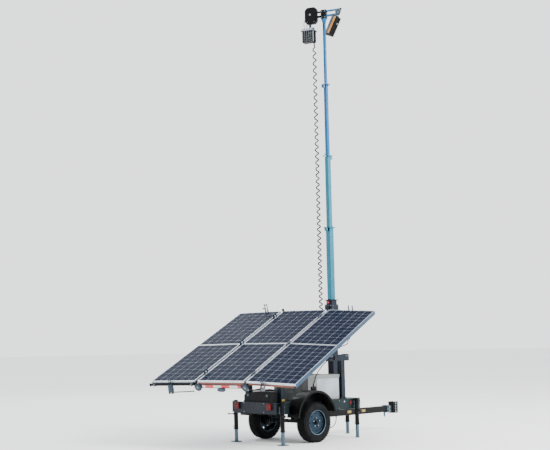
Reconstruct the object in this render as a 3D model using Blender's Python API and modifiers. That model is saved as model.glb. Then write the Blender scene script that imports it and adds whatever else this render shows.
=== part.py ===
"""Towable solar light tower: a single-axle trailer with a folding solar array and a telescoping lamp mast.

Metres, +Z up, the ground is z = 0 and +X points along the tongue. The origin is at the middle of the base of
the model's bounding box. Every dimension below is measured from the point on the ground under the axle's
middle, which MODEL_SHIFT then moves. The array is drawn slewed and tilted, its wings spread, and the mast is
drawn fully raised.
"""

import bpy
import bmesh
import numpy as np
from math import cos, pi, radians, sin
from mathutils import Euler, Matrix, Vector

GAP = 0.0003  # between pieces that touch
MODEL_SHIFT = (-0.3752, 0.0027, 0.0)  # from the axle's middle to the middle of the bounding box

# Wheels and axle
WHEEL_RADIUS = 0.368
TYRE_WIDTH = 0.215
RIM_RADIUS = 0.235
TRACK = 1.278
VENT_HOLES = 8
BOLT_COUNT = 5

# Deck and running gear
DECK_REAR, DECK_FRONT = -0.88, 1.40
DECK_HALF = 0.56
WAIST_HALF = 0.47
WAIST_END = 0.56
DECK_BOTTOM, DECK_TOP = 0.545, 0.745
SHEET = 0.005
RAIL_Y = 0.43
TONGUE_START, TONGUE_END = 0.10, 3.00
TONGUE_SIZE = (0.10, 0.12)
TONGUE_Z = 0.43
FENDER_CENTRE = (-0.02, 0.44)
FENDER_RADIUS = 0.51
FENDER_OUT = 0.765

# Jacks: (name, x, y, lowest point of the outer tube, its top)
JACK_TUBE, JACK_LEG = 0.041, 0.034
JACKS = (
    ("rear_near", -0.789, -0.612, 0.235, 0.770),
    ("rear_far", -0.789, 0.612, 0.235, 0.770),
    ("front_near", 1.240, -0.612, 0.245, 0.740),
    ("front_far", 1.240, 0.612, 0.245, 0.740),
    ("tongue", 1.768, 0.103, 0.228, 0.700),
)
FOOT_SIDE = 0.15
CRANK_OUT, CRANK_ARM = 0.062, 0.070

# Cabinet
CABINET = (0.07, 0.93, 0.45, 1.185)  # rear, front, half width, top of the walls
LID_TOP = 1.21

# Mast: outer sides of the square sections from the base up, and the heights of their tops
MAST_X, MAST_Y = 1.344, 0.061
MAST_SIDES = (0.147, 0.107, 0.082, 0.062, 0.046)
MAST_TOPS = (2.656, 4.096, 5.536, 6.976, 8.300)
MAST_WALL = 0.006
MAST_OVERLAP = 0.30
HEAD_TURN = radians(20)
HEAD_Z = 8.47
NEAR_LAMP_ROLL = radians(27)
NEAR_LAMP_SWING = radians(-40)
CURLY_RADIUS = 0.036
CURLY_OFFSET = 0.228  # along the arm
CURLY_ENDS = (2.130, 7.850)
DRIVER_TOP = 8.125

# Array, in its own frame: x up the slope, y across to the far side, z along the panels' normal
STAND_X = -0.62
PIVOT = Vector((-0.545, 0.0, 1.690))
SLEW = radians(13.3)
TILT = radians(22.6)
PANEL_W, PANEL_L, PANEL_T = 0.970, 1.614, 0.035
PANEL_TOP = 0.150
LAMINATE = 0.005
ROW_GAP = 0.013
WING_GAP = {"near": 0.060, "far": 0.070}
WING_DROOP = {"near": radians(2.8), "far": radians(1.2)}
HINGE_RISE = {"near": 0.012, "far": 0.072}
HINGE_STATIONS = (-1.30, 0.0, 1.30)
RAIL = 0.050
WING_RAIL = 0.040

COLOURS = {
    "frame_navy": (0.020, 0.035, 0.060, 0.45, 0.3),
    "black_paint": (0.010, 0.012, 0.016, 0.4, 0.2),
    "galvanised": (0.42, 0.47, 0.52, 0.45, 1.0),
    "mast_metal": (0.30, 0.46, 0.58, 0.40, 1.0),
    "cabinet_grey": (0.42, 0.43, 0.44, 0.5, 0.1),
    "panel_cells": (0.030, 0.040, 0.075, 0.15, 0.0),
    "array_metal": (0.25, 0.30, 0.38, 0.4, 1.0),
    "rubber": (0.012, 0.013, 0.015, 0.8, 0.0),
    "rim_steel": (0.16, 0.20, 0.26, 0.4, 1.0),
    "tail_red": (0.35, 0.01, 0.01, 0.2, 0.0),
    "black_plastic": (0.015, 0.015, 0.018, 0.55, 0.0),
}


def clear_scene():
    for old in list(bpy.data.objects):
        bpy.data.objects.remove(old, do_unlink=True)


def collection(name):
    made = bpy.data.collections.new(name)
    bpy.context.scene.collection.children.link(made)
    return made


clear_scene()
PARTS = collection("solar_light_tower")
CUTTERS = collection("cutters")
CUTTERS.hide_render = True
ROOT = bpy.data.objects.new("model_origin", None)
ROOT.location = MODEL_SHIFT
PARTS.objects.link(ROOT)


def material(name):
    found = bpy.data.materials.get(name)
    if found:
        return found
    red, green, blue, rough, metal = COLOURS[name]
    made = bpy.data.materials.new(name)
    made.use_nodes = True
    shader = made.node_tree.nodes["Principled BSDF"]
    shader.inputs["Base Color"].default_value = (red, green, blue, 1)
    shader.inputs["Roughness"].default_value = rough
    shader.inputs["Metallic"].default_value = metal
    return made


def place(obj, parent=None, slot=None):
    PARTS.objects.link(obj)
    obj.parent = parent or ROOT
    if slot:
        obj.data.materials.append(material(slot))
    return obj


def mesh_object(name, bm):
    bmesh.ops.recalc_face_normals(bm, faces=bm.faces)
    mesh = bpy.data.meshes.new(name)
    bm.to_mesh(mesh)
    bm.free()
    return bpy.data.objects.new(name, mesh)


def box(low, high, name="box", turn=0.0, axis="Z"):
    """A box between two opposite corners, turned about its own middle."""
    low, high = Vector(low), Vector(high)
    bm = bmesh.new()
    size = Vector(abs(length) for length in high - low)
    bmesh.ops.create_cube(bm, size=1, matrix=Matrix.Diagonal((*size, 1)))
    obj = mesh_object(name, bm)
    obj.data.transform(Matrix.Translation((low + high) / 2) @ Matrix.Rotation(turn, 4, axis))
    return obj


def centred(middle, size, name="box", turn=0.0, axis="Z"):
    half = Vector(size) / 2
    return box(Vector(middle) - half, Vector(middle) + half, name, turn, axis)


def rod(start, end, radius, sides=16, tip=None, name="rod"):
    """A cylinder or, with a tip radius, a cone between two points."""
    start, end = Vector(start), Vector(end)
    bm = bmesh.new()
    bmesh.ops.create_cone(
        bm,
        cap_ends=True,
        segments=sides,
        radius1=radius,
        radius2=radius if tip is None else tip,
        depth=(end - start).length,
    )
    obj = mesh_object(name, bm)
    turn = (end - start).to_track_quat("Z", "Y").to_matrix().to_4x4()
    obj.data.transform(Matrix.Translation((start + end) / 2) @ turn)
    return obj


def bevelled(obj, width, segments=2):
    edge = obj.modifiers.new("edge", "BEVEL")
    edge.width = width
    edge.segments = segments
    edge.limit_method = "ANGLE"
    return obj


def combine(target, others, operation):
    for other in others:
        CUTTERS.objects.link(other)
        other.hide_render = True
        other.display_type = "WIRE"
        joint = target.modifiers.new(operation.lower(), "BOOLEAN")
        joint.operation = operation
        joint.object = other
    return target


def fuse(target, *others):
    return combine(target, others, "UNION")


def cut(target, *others):
    return combine(target, others, "DIFFERENCE")


def carry(obj, parent):
    """Sets the parent of every shape that a shape's Booleans use, and of those that they use in turn."""
    for modifier in obj.modifiers:
        if modifier.type == "BOOLEAN":
            modifier.object.parent = parent or ROOT
            carry(modifier.object, parent)


def named(obj, name, slot, parent=None):
    """Makes a shape into a node of the model."""
    obj.name = name
    obj.data.name = name
    carry(obj, parent)
    return place(obj, parent, slot)


def square_tube(side, wall, low, high, x=0.0, y=0.0):
    """An upright square tube, open at both ends."""
    outer = box((x - side / 2, y - side / 2, low), (x + side / 2, y + side / 2, high))
    inner = side / 2 - wall
    hole = box((x - inner, y - inner, low - 0.01), (x + inner, y + inner, high + 0.01))
    return cut(outer, hole)


def turned(profile, name, closed=False):
    """A profile of (radius, height) turned round Y. It is a loop, or it starts and ends on the axis."""
    bm = bmesh.new()
    points = [bm.verts.new((radius, across, 0)) for radius, across in profile]
    for first, second in zip(points, points[1:] + points[:1] * closed):
        bm.edges.new((first, second))
    mesh = bpy.data.meshes.new(name)
    bm.to_mesh(mesh)
    bm.free()
    obj = bpy.data.objects.new(name, mesh)
    spin = obj.modifiers.new("spin", "SCREW")
    spin.axis = "Y"
    spin.steps = spin.render_steps = 48
    spin.use_merge_vertices = True
    spin.merge_threshold = 0.0001
    spin.use_normal_calculate = True
    return obj


def plate(outline, low, high, name="plate"):
    """A flat outline of (x, z) points made solid between two y values."""
    bm = bmesh.new()
    ring = [bm.verts.new((x, low, z)) for x, z in outline]
    face = bm.faces.new(ring)
    grown = bmesh.ops.extrude_face_region(bm, geom=[face])
    moved = [item for item in grown["geom"] if isinstance(item, bmesh.types.BMVert)]
    bmesh.ops.translate(bm, verts=moved, vec=(0, high - low, 0))
    return mesh_object(name, bm)


def arc(centre, radius, start, end, count):
    return [
        (centre[0] + radius * cos(angle), centre[1] + radius * sin(angle))
        for angle in np.linspace(radians(start), radians(end), count)
    ]


def smooth_path(points, step):
    """Points about a step apart along a smooth curve through the given ones."""
    points = np.array(points, float)
    padded = np.vstack([2 * points[0] - points[1], points, 2 * points[-1] - points[-2]])
    dense = []
    for a, b, c, d in zip(padded, padded[1:], padded[2:], padded[3:]):
        for t in np.linspace(0, 1, 40, endpoint=False):
            squared = (2 * a - 5 * b + 4 * c - d) * t**2
            cubed = (3 * b - a - 3 * c + d) * t**3
            dense.append(0.5 * (2 * b + (c - a) * t + squared + cubed))
    dense.append(points[-1])
    dense = np.array(dense)
    run = np.concatenate([[0], np.cumsum(np.linalg.norm(np.diff(dense, axis=0), axis=1))])
    stops = np.linspace(0, run[-1], max(2, round(run[-1] / step)) + 1)
    return np.column_stack([np.interp(stops, run, dense[:, k]) for k in range(3)])


def wire(name, points, radius, slot, parent=None, smoothness=2):
    curve = bpy.data.curves.new(name, "CURVE")
    curve.dimensions = "3D"
    curve.bevel_depth = radius
    curve.bevel_resolution = smoothness
    curve.use_fill_caps = True
    curve.render_resolution_u = 0
    spline = curve.splines.new("POLY")
    spline.points.add(len(points) - 1)
    for point, at in zip(spline.points, points):
        point.co = (*at, 1)
    return place(bpy.data.objects.new(name, curve), parent, slot)


def empty(name, at, parent=None, rotation=(0, 0, 0)):
    obj = bpy.data.objects.new(name, None)
    obj.location = at
    obj.rotation_euler = Euler(rotation)
    return place(obj, parent)


# ---------------------------------------------------------------- chassis


def deck():
    """A folded sheet deck, narrow between the wheels and open below."""

    def shape(inset, low, high):
        rear, front = DECK_REAR + inset, DECK_FRONT - inset
        narrow, wide, waist = WAIST_HALF - inset, DECK_HALF - inset, WAIST_END + inset
        middle = box((rear, -narrow, low), (front, narrow, high))
        ends = [
            box((rear, -wide, low), (-waist, wide, high)),
            box((waist, -wide, low), (front, wide, high)),
        ]
        return middle, ends

    outer, outer_ends = shape(0, DECK_BOTTOM, DECK_TOP)
    inner, inner_ends = shape(SHEET, DECK_BOTTOM - 0.05, DECK_TOP - SHEET)
    fuse(outer, *outer_ends)
    cut(outer, inner, *inner_ends)
    named(outer, "deck_shell", "frame_navy")


def chassis():
    """Two rails, their cross members, the spring hangers and the saddles for the tongue."""
    top = DECK_TOP - SHEET - GAP
    low = top - 0.12
    rear, front = DECK_REAR + 0.02, DECK_FRONT - 0.02
    rails = [
        box((rear, side * RAIL_Y - 0.025, low), (front, side * RAIL_Y + 0.025, top))
        for side in (-1, 1)
    ]
    crosses = [
        box((x - 0.03, -RAIL_Y, low + 0.02), (x + 0.03, RAIL_Y, top - 0.02))
        for x in (DECK_REAR + 0.05, -0.30, 0.45, DECK_FRONT - 0.05)
    ]
    tongue_top = TONGUE_Z + TONGUE_SIZE[1] / 2 + GAP
    saddles = [
        box((x - 0.03, -0.06, tongue_top), (x + 0.03, 0.06, low + 0.05))
        for x in (0.45, DECK_FRONT - 0.05)
    ]
    hangers = []
    for side in (-1, 1):
        for x in (-0.345, 0.345):
            hangers.append(centred((x, side * RAIL_Y, low - 0.065), (0.045, 0.040, 0.150)))
    reach = DECK_HALF - SHEET - GAP
    outriggers = [
        box((x - 0.03, -reach, low + 0.03), (x + 0.03, reach, top - 0.03)) for x in (-0.72, 1.20)
    ]
    frame = fuse(rails[0], rails[1], *crosses, *saddles, *hangers, *outriggers)
    for side in (-1, 1):
        y = side * RAIL_Y
        cut(frame, box((DECK_REAR, y - 0.020, low + 0.005), (DECK_FRONT, y + 0.020, top - 0.005)))
    named(frame, "chassis_frame", "black_paint")


def tongue():
    half_y, half_z = TONGUE_SIZE[0] / 2, TONGUE_SIZE[1] / 2

    def section(grow, start, end):
        """A length of the tongue's section, grown outwards by so much."""
        y, z = half_y + grow, half_z + grow
        return box((start, -y, TONGUE_Z - z), (end, y, TONGUE_Z + z))

    tube = section(0, TONGUE_START, TONGUE_END)
    cut(tube, section(-0.006, TONGUE_START - 0.01, TONGUE_END + 0.01))

    low, high = 0.335, 0.568
    channel = box((TONGUE_END - 0.002, -0.065, low), (TONGUE_END + 0.150, 0.065, high))
    cut(channel, box((TONGUE_END + 0.012, -0.055, low - 0.01), (TONGUE_END + 0.16, 0.055, high + 0.01)))
    bolts = []
    for z in np.linspace(low + 0.035, high - 0.035, 4):
        for x in (TONGUE_END + 0.055, TONGUE_END + 0.115):
            bolts.append(rod((x, -0.078, z), (x, -0.058, z), 0.013, 6))
            bolts.append(rod((x, 0.058, z), (x, 0.078, z), 0.013, 6))
    named(fuse(tube, channel, *bolts), "tongue_tube", "black_paint")

    collar = section(0.014, 2.80, 2.90)
    cut(collar, section(GAP, 2.70, 3.0))
    for z in (TONGUE_Z - 0.035, TONGUE_Z + 0.035):
        fuse(collar, rod((2.85, -half_y - 0.04, z), (2.85, -half_y - 0.005, z), 0.014, 6))
    fuse(collar, box((2.775, -0.012, 0.285), (2.805, 0.012, TONGUE_Z - half_z - 0.006)))
    named(collar, "tongue_clamp", "galvanised")


def axle_and_springs():
    beam = box((-0.032, -0.49, WHEEL_RADIUS - 0.032), (0.032, 0.49, WHEEL_RADIUS + 0.032))
    spindle = rod((0, -0.655, WHEEL_RADIUS), (0, 0.655, WHEEL_RADIUS), 0.020, 20)
    named(fuse(beam, spindle), "axle_beam", "black_paint")
    seat = WHEEL_RADIUS + 0.032 + GAP
    eye_z = 0.475
    for side, label in ((-1, "near"), (1, "far")):
        rise = eye_z - seat - 0.012
        xs = np.linspace(-0.32, 0.32, 13)
        upper = [(x, seat + 0.030 + rise * (x / 0.32) ** 2) for x in xs]
        lower = [(x, seat + 0.018 + rise * (x / 0.32) ** 2) for x in xs[::-1]]
        low_y, high_y = side * RAIL_Y - 0.025, side * RAIL_Y + 0.025
        main = plate(upper + lower, low_y, high_y)
        outline = [(-0.20, seat + 0.027), (0.20, seat + 0.027), (0.12, seat), (-0.12, seat)]
        pack = plate(outline, low_y, high_y)
        named(fuse(main, pack), "leaf_spring_" + label, "black_paint")


def fender(side, label):
    outer = arc(FENDER_CENTRE, FENDER_RADIUS, 12, 176, 25)
    inner = arc(FENDER_CENTRE, FENDER_RADIUS - SHEET, 176, 12, 25)
    inside, outside = WAIST_HALF + GAP, FENDER_OUT
    skin = plate(outer + inner, *sorted((side * inside, side * outside)))
    rim = arc(FENDER_CENTRE, FENDER_RADIUS - 0.030, 176, 12, 25)
    lip = plate(outer + rim, *sorted((side * (outside - SHEET), side * outside)))
    chord = arc(FENDER_CENTRE, FENDER_RADIUS - 0.001, 14, 174, 25)
    wall = plate(chord, *sorted((side * inside, side * (inside + SHEET))))
    cut(wall, box((-0.45, -0.8, 0.2), (0.45, 0.8, DECK_TOP - 0.02)))
    named(fuse(skin, lip, wall), "fender_" + label, "black_paint")


def bumper():
    low, high = 0.565, 0.765
    back = DECK_REAR - GAP
    channel = box((back - 0.030, -0.58, low), (back, 0.58, high))
    cut(channel, box((back - 0.026, -0.60, low + SHEET), (back + 0.01, 0.60, high - SHEET)))
    named(channel, "rear_bumper", "frame_navy")
    for side, label in ((-1, "near"), (1, "far")):
        lamp = centred((back - 0.030 - GAP - 0.024, side * 0.42, 0.690), (0.048, 0.120, 0.120))
        named(bevelled(lamp, 0.008), "tail_lamp_" + label, "tail_red")


# ---------------------------------------------------------------- wheels


def wheel(side, label):
    hub_y = side * TRACK / 2
    half = TYRE_WIDTH / 2
    axis = empty("wheel_axis_" + label, (0, hub_y, WHEEL_RADIUS))
    bead = RIM_RADIUS - 0.012
    tyre_profile = [
        (bead, -half + 0.020),
        (bead + 0.050, -half),
        (WHEEL_RADIUS - 0.035, -half + 0.004),
        (WHEEL_RADIUS - 0.008, -half + 0.022),
        (WHEEL_RADIUS, -half + 0.045),
        (WHEEL_RADIUS, half - 0.045),
        (WHEEL_RADIUS - 0.008, half - 0.022),
        (WHEEL_RADIUS - 0.035, half - 0.004),
        (bead + 0.050, half),
        (bead, half - 0.020),
        (bead + 0.030, half - 0.050),
        (bead + 0.030, -half + 0.050),
    ]
    named(turned(tyre_profile, "tyre_" + label, closed=True), "tyre_" + label, "rubber", axis)

    barrel = bead - GAP
    reach = half - 0.022
    # From the tip of the hub cap outwards over the disc and the barrel, and back to the bearing bore.
    rim_profile = [
        (0.0, 0.090),
        (0.026, 0.090),
        (0.034, 0.050),
        (0.050, 0.046),
        (0.095, 0.058),
        (0.190, 0.050),
        (barrel - 0.005, 0.030),
        (barrel - 0.005, reach),
        (barrel, reach),
        (barrel, -reach),
        (barrel - 0.005, -reach),
        (barrel - 0.005, 0.020),
        (0.190, 0.041),
        (0.095, 0.048),
        (0.055, 0.036),
        (0.055, -0.110),
        (0.0210, -0.110),
        (0.0210, 0.030),
        (0.0, 0.030),
    ]
    outwards = [(radius, side * across) for radius, across in rim_profile]
    rim = turned(outwards[::-side], "rim_" + label)
    for step in range(VENT_HOLES):
        angle = 2 * pi * step / VENT_HOLES
        x, z = 0.160 * cos(angle), 0.160 * sin(angle)
        cut(rim, rod((x, side * 0.02, z), (x, side * 0.08, z), 0.017, 12))
    for step in range(BOLT_COUNT):
        angle = 2 * pi * (step + 0.25) / BOLT_COUNT
        x, z = 0.078 * cos(angle), 0.078 * sin(angle)
        fuse(rim, rod((x, side * 0.048, z), (x, side * 0.074, z), 0.012, 6))
    named(rim, "rim_" + label, "rim_steel", axis)


# ---------------------------------------------------------------- jacks


def jack(label, x, y, low, high):
    """A drop leg in a sleeve, with its mount and, away from the tongue, a side-wind handle."""
    side = 1 if y > 0 else -1
    on_tongue = label == "tongue"
    bore = rod((x, y, low - 0.01), (x, y, high - 0.012), JACK_LEG + 0.0008, 20)
    sleeve = rod((x, y, low), (x, y, high), JACK_TUBE, 20)
    if on_tongue:
        mount_z, crank_z = TONGUE_Z, high - 0.060
        inner = TONGUE_SIZE[0] / 2 + GAP
    else:
        mount_z, crank_z = 0.630, 0.520
        inner = side * (DECK_HALF + GAP)
    mount = box((x - 0.055, inner, mount_z - 0.055), (x + 0.055, y - side * 0.020, mount_z + 0.055))
    boss = rod((x, y + side * 0.036, crank_z), (x, y + side * CRANK_OUT, crank_z), 0.017, 12)
    named(cut(fuse(sleeve, mount, boss), bore), "jack_sleeve_" + label, "black_paint")

    leg_axis = empty("jack_leg_axis_" + label, (x, y, 0))
    leg = rod((0, 0, 0.004), (0, 0, low + 0.250), JACK_LEG, 20)
    cut(leg, rod((0, 0, 0.020), (0, 0, low + 0.260), JACK_LEG - 0.005, 20))
    if label.startswith("rear"):
        half = FOOT_SIDE / 2
        lip = box((-half, -half, 0.004), (half, half, 0.016))
        cut(lip, box((-half + 0.004, -half + 0.004, 0), (half - 0.004, half - 0.004, 0.03)))
        fuse(leg, box((-half, -half, 0), (half, half, 0.007)), lip)
    else:
        fuse(leg, rod((0, 0, 0), (0, 0, 0.012), JACK_LEG + 0.010, 20))
    named(leg, "jack_leg_" + label, "galvanised", leg_axis)

    if on_tongue:
        return
    crank_axis = empty("jack_crank_axis_" + label, (x, y + side * (CRANK_OUT + GAP), crank_z))
    shaft = rod((0, 0, 0), (0, side * 0.030, 0), 0.009, 12)
    arm = box((-CRANK_ARM - 0.010, side * 0.018, -0.010), (0.010, side * 0.028, 0.010))
    grip = rod((-CRANK_ARM, side * 0.020, 0), (-CRANK_ARM, side * 0.085, 0), 0.013, 12)
    named(fuse(shaft, arm, grip), "jack_crank_" + label, "black_plastic", crank_axis)


# ---------------------------------------------------------------- deck equipment


def cabinet():
    rear, front, half, top = CABINET
    floor = DECK_TOP + GAP
    wall = 0.004
    shell = box((rear, -half, floor), (front, half, top))
    cut(shell, box((rear + wall, -half + wall, floor + wall), (front - wall, half - wall, top + 0.01)))
    socket = box((0.150, -half - 0.016, 0.900), (0.270, -half + 0.001, 1.010))
    named(fuse(shell, socket), "cabinet_body", "cabinet_grey")
    low, high = (rear + 0.06, -half + 0.08, floor + wall + GAP), (front - 0.06, half - 0.08, floor + 0.30)
    named(bevelled(box(low, high), 0.01), "battery_block", "black_plastic")

    hinge = empty("lid_axis", (front + 0.016, 0, top + 0.012))
    seat, high = top + GAP - hinge.location.z, LID_TOP - hinge.location.z
    back, side, inset = rear - 0.010 - hinge.location.x, half + 0.010, 0.024
    lid = box((back, -side, seat - 0.030), (-0.010, side, high))
    skirted = box((back + wall, -side + wall, seat - 0.040), (0.010, side - wall, seat))
    recess = box((back + inset, -side + inset, seat - 0.010), (-inset, side - inset, high - wall))
    cut(lid, skirted, recess)
    for y in (-0.28, 0.28):
        knuckle = rod((0, y - 0.06, 0), (0, y + 0.06, 0), 0.008, 12)
        tab = box((-0.018, y - 0.06, -0.003), (-0.002, y + 0.06, high - 0.001))
        fuse(lid, knuckle, tab)
    named(lid, "cabinet_lid", "cabinet_grey", hinge)

    case = box((-0.868, -0.42, floor), (-0.715, 0.30, 0.965))
    named(bevelled(case, 0.030, 3), "controller_case", "black_plastic")


def bore(x, y, low, high):
    """What is cut from a post so that it is a tube with 6 mm walls, open below."""
    return box((x - 0.044, y - 0.044, low - 0.010), (x + 0.044, y + 0.044, high))


def stand():
    """The gate that carries the array's turntable, and the cradle that carries the array on the road."""
    floor = DECK_TOP + GAP
    posts = [
        centred((STAND_X, side * 0.425, (floor + 1.30) / 2), (0.10, 0.10, 1.30 - floor)) for side in (-1, 1)
    ]
    beam = box((STAND_X - 0.05, -0.475, 1.22), (STAND_X + 0.05, 0.475, 1.32))
    top_plate = centred((PIVOT.x, 0, 1.326), (0.36, 0.36, 0.014))
    outline = [(STAND_X + 0.04, 1.10), (STAND_X + 0.04, 1.322), (PIVOT.x + 0.16, 1.322)]
    brace = [plate(outline, y - 0.004, y + 0.004) for y in (-0.10, 0.10)]
    ribs = [box((STAND_X - 0.01, -0.11, 1.09), (STAND_X + 0.045, 0.11, 1.24))]
    bearing = rod((PIVOT.x, 0, 1.33), (PIVOT.x, 0, 1.380), 0.105, 28)
    stand_frame = fuse(posts[0], posts[1], beam, top_plate, *brace, *ribs, bearing)
    cut(stand_frame, *[bore(STAND_X, side * 0.425, floor, 1.300) for side in (-1, 1)])
    named(stand_frame, "array_stand", "frame_navy")

    x, top = 1.030, 1.585
    legs = [
        centred((x, side * 0.425, (floor + 1.48) / 2), (0.10, 0.10, 1.48 - floor)) for side in (-1, 1)
    ]
    saddles = [
        box((0.66, side * 0.425 - 0.05, 1.465), (1.21, side * 0.425 + 0.05, top)) for side in (-1, 1)
    ]
    tie = box((0.90, -0.40, 1.475), (0.97, 0.40, 1.575))
    lead_box = box((0.780, -0.500, 1.490), (0.860, -0.470, 1.560))
    cradle = fuse(legs[0], legs[1], *saddles, tie, lead_box)
    cut(cradle, *[bore(x, side * 0.425, floor, top - 0.020) for side in (-1, 1)])
    for side in (-1, 1):
        y = side * 0.425
        cut(cradle, box((0.666, y - 0.044, 1.471), (1.220, y + 0.044, top - 0.006)))
    named(cradle, "transport_cradle", "frame_navy")


# ---------------------------------------------------------------- mast


def flange(side, top, hole, x=0.0, y=0.0):
    """The plate at a section's top that guides the next one."""
    ring = centred((x, y, top - 0.008), (side + 0.060, side + 0.060, 0.016))
    cut(ring, centred((x, y, top - 0.008), (hole, hole, 0.05)))
    return ring


def mast():
    floor = DECK_TOP + GAP
    side, top = MAST_SIDES[0], MAST_TOPS[0]
    base = square_tube(side, 0.008, floor, top - 0.010, MAST_X, MAST_Y)
    ring = flange(side - 0.016, top, MAST_SIDES[1] + 0.003, MAST_X, MAST_Y)
    sole = centred((MAST_X, MAST_Y, floor + 0.005), (0.110, 0.240, 0.010))
    clamp = square_tube(side + 0.045, 0.0235, 2.440, 2.560, MAST_X, MAST_Y)
    lugs = [centred((MAST_X + way * 0.105, MAST_Y, 2.500), (0.040, 0.060, 0.070)) for way in (-1, 1)]
    knob = rod((MAST_X - 0.070, MAST_Y, 2.602), (MAST_X - 0.115, MAST_Y, 2.602), 0.018, 12)
    coil = coil_axis()
    arm = box((MAST_X - 0.020, MAST_Y + side / 2 - 0.002, 2.050), (coil.x - 0.020, coil.y + 0.020, 2.064))
    cup = rod((coil.x, coil.y, 2.050), (coil.x, coil.y, CURLY_ENDS[0] - GAP), 0.030, 16)
    named(fuse(base, ring, sole, clamp, *lugs, knob, arm, cup), "mast_base", "frame_navy")

    for index in range(1, 5):
        side, top = MAST_SIDES[index], MAST_TOPS[index]
        low = MAST_TOPS[index - 1] - MAST_OVERLAP
        name = "mast_section_%d" % (index + 1)
        axis = empty("mast_axis_%d" % (index + 1), (MAST_X, MAST_Y, 0))
        if index == 4:
            named(square_tube(side, 0.004, low, top - 0.085), name, "mast_metal", axis)
            continue
        way = 1 if index == 2 else -1
        tube = square_tube(side, MAST_WALL, low, top - 0.004)
        ring = flange(side, top, MAST_SIDES[index + 1] + 0.003)
        face = side / 2
        inner, outer = way * (face + 0.008), way * (face + 0.075)
        cheeks = [
            box((inner, y - 0.003, top - 0.075), (outer, y + 0.003, top - 0.002)) for y in (-0.017, 0.017)
        ]
        pin_x = way * (face + 0.042)
        pulley = rod((pin_x, -0.0185, top - 0.050), (pin_x, 0.0185, top - 0.050), 0.026, 16)
        tab = centred((-way * (face + 0.025), 0, top + 0.012), (0.012, 0.030, 0.040))
        named(fuse(tube, ring, *cheeks, pulley, tab), name, "mast_metal", axis)


def winch():
    face = MAST_X + MAST_SIDES[0] / 2 + GAP
    back = box((face, MAST_Y - 0.060, 1.080), (face + 0.008, MAST_Y + 0.060, 1.320))
    cheeks = [
        box((face, MAST_Y + y - 0.003, 1.100), (face + 0.110, MAST_Y + y + 0.003, 1.280))
        for y in (-0.045, 0.045)
    ]
    drum = rod((face + 0.065, MAST_Y - 0.047, 1.19), (face + 0.065, MAST_Y + 0.047, 1.19), 0.034, 20)
    named(fuse(back, *cheeks, drum), "winch_body", "galvanised")
    axis = empty("winch_axis", (face + 0.065, MAST_Y + 0.048 + GAP, 1.19))
    shaft = rod((0, 0, 0), (0, 0.044, 0), 0.010, 12)
    arm = box((-0.012, 0.032, -0.190), (0.012, 0.040, 0.012))
    grip = rod((0, 0.034, -0.175), (0, 0.125, -0.175), 0.014, 12)
    named(fuse(shaft, arm, grip), "winch_handle", "black_plastic", axis)


def swung(piece):
    """Swings a near-lamp piece about the lamp's upright line and moves it out to its bracket."""
    piece.data.transform(Matrix.Translation((-0.170, -0.090, 0)) @ Matrix.Rotation(NEAR_LAMP_SWING, 4, "Z"))
    return piece


def head():
    """The lamp arm and all it carries. In its frame the arm runs along y, and -y is the near lamp's end."""
    axis = empty("head_axis", (MAST_X, MAST_Y, 0), rotation=(0, 0, HEAD_TURN))
    base, top = MAST_TOPS[4], MAST_TOPS[4] + 0.200
    upper_z, lower_z = HEAD_Z + 0.005, HEAD_Z - 0.095
    neck = rod((0, 0, base - 0.084), (0, 0, base + 0.020), 0.034, 16, 0.060)
    block = box((-0.047, -0.055, base + 0.010), (0.047, 0.055, top))
    upper = rod((0.018, -0.370, upper_z), (0.018, 0.370, upper_z), 0.020, 16)
    lower = rod((0, -0.285, lower_z), (0, 0.330, lower_z), 0.024, 16)
    caps = [
        rod((0.018, way * 0.350, upper_z), (0.018, way * 0.372, upper_z), 0.025, 16) for way in (-1, 1)
    ]
    near_plate = box((-0.006, -0.365, HEAD_Z - 0.125), (0.006, -0.245, HEAD_Z + 0.010))
    tab = box((-0.078, 0.210, lower_z - 0.015), (-0.010, 0.230, lower_z + 0.015))
    strap = box((-0.004, 0.280, DRIVER_TOP + GAP), (0.004, 0.330, lower_z))
    named(fuse(block, neck, upper, lower, *caps, near_plate, tab, strap), "lamp_arm", "black_paint", axis)

    driver = box((-0.085, 0.210, CURLY_ENDS[1] + 0.020), (0.085, 0.460, DRIVER_TOP - 0.020))
    lid = box((-0.095, 0.190, DRIVER_TOP - 0.026), (0.095, 0.480, DRIVER_TOP))
    ports = [
        rod((0, y, DRIVER_TOP - 0.010), (0, y, DRIVER_TOP + 0.025), 0.014, 12) for y in (0.245, 0.375, 0.430)
    ]
    base = CURLY_ENDS[1]
    gland = rod((0, CURLY_OFFSET, base + GAP), (0, CURLY_OFFSET, base + 0.030), 0.016, 12)
    named(fuse(driver, lid, *ports, gland), "lamp_driver", "black_plastic", axis)

    hinge = empty("lamp_axis_near", (-0.006, -0.320, HEAD_Z - 0.070), axis, (NEAR_LAMP_ROLL, 0, 0))
    hub = rod((-GAP, 0, 0), (-0.034, 0, 0), 0.022, 16)
    yoke = box((-0.022, -0.016, -0.080), (-0.034, 0.016, 0.010))
    hanger = box((-0.022, -0.060, -0.098), (-0.200, 0.016, -0.074))
    body = swung(box((-0.050, -0.135, -0.505), (0.050, 0.135, -0.092)))
    glass = swung(box((-0.048, -0.115, -0.485), (-0.062, 0.115, -0.112)))
    named(fuse(body, hub, yoke, hanger, glass), "flood_lamp_near", "black_plastic", hinge)

    hinge = empty("lamp_axis_far", (-0.060, 0.220, lower_z), axis)
    ears = [box((-0.030, way * 0.0117, -0.020), (0.014, way * 0.022, 0.020)) for way in (-1, 1)]
    body = box((-0.118, -0.125, -0.170), (-0.004, 0.125, 0.170))
    body = cut(body, box((-0.028, -0.024, -0.032), (0.010, 0.024, 0.032)))
    glass = box((-0.105, 0.123, -0.155), (-0.017, 0.137, 0.155))
    named(fuse(body, *ears, glass), "flood_lamp_far", "black_plastic", hinge)


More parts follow.
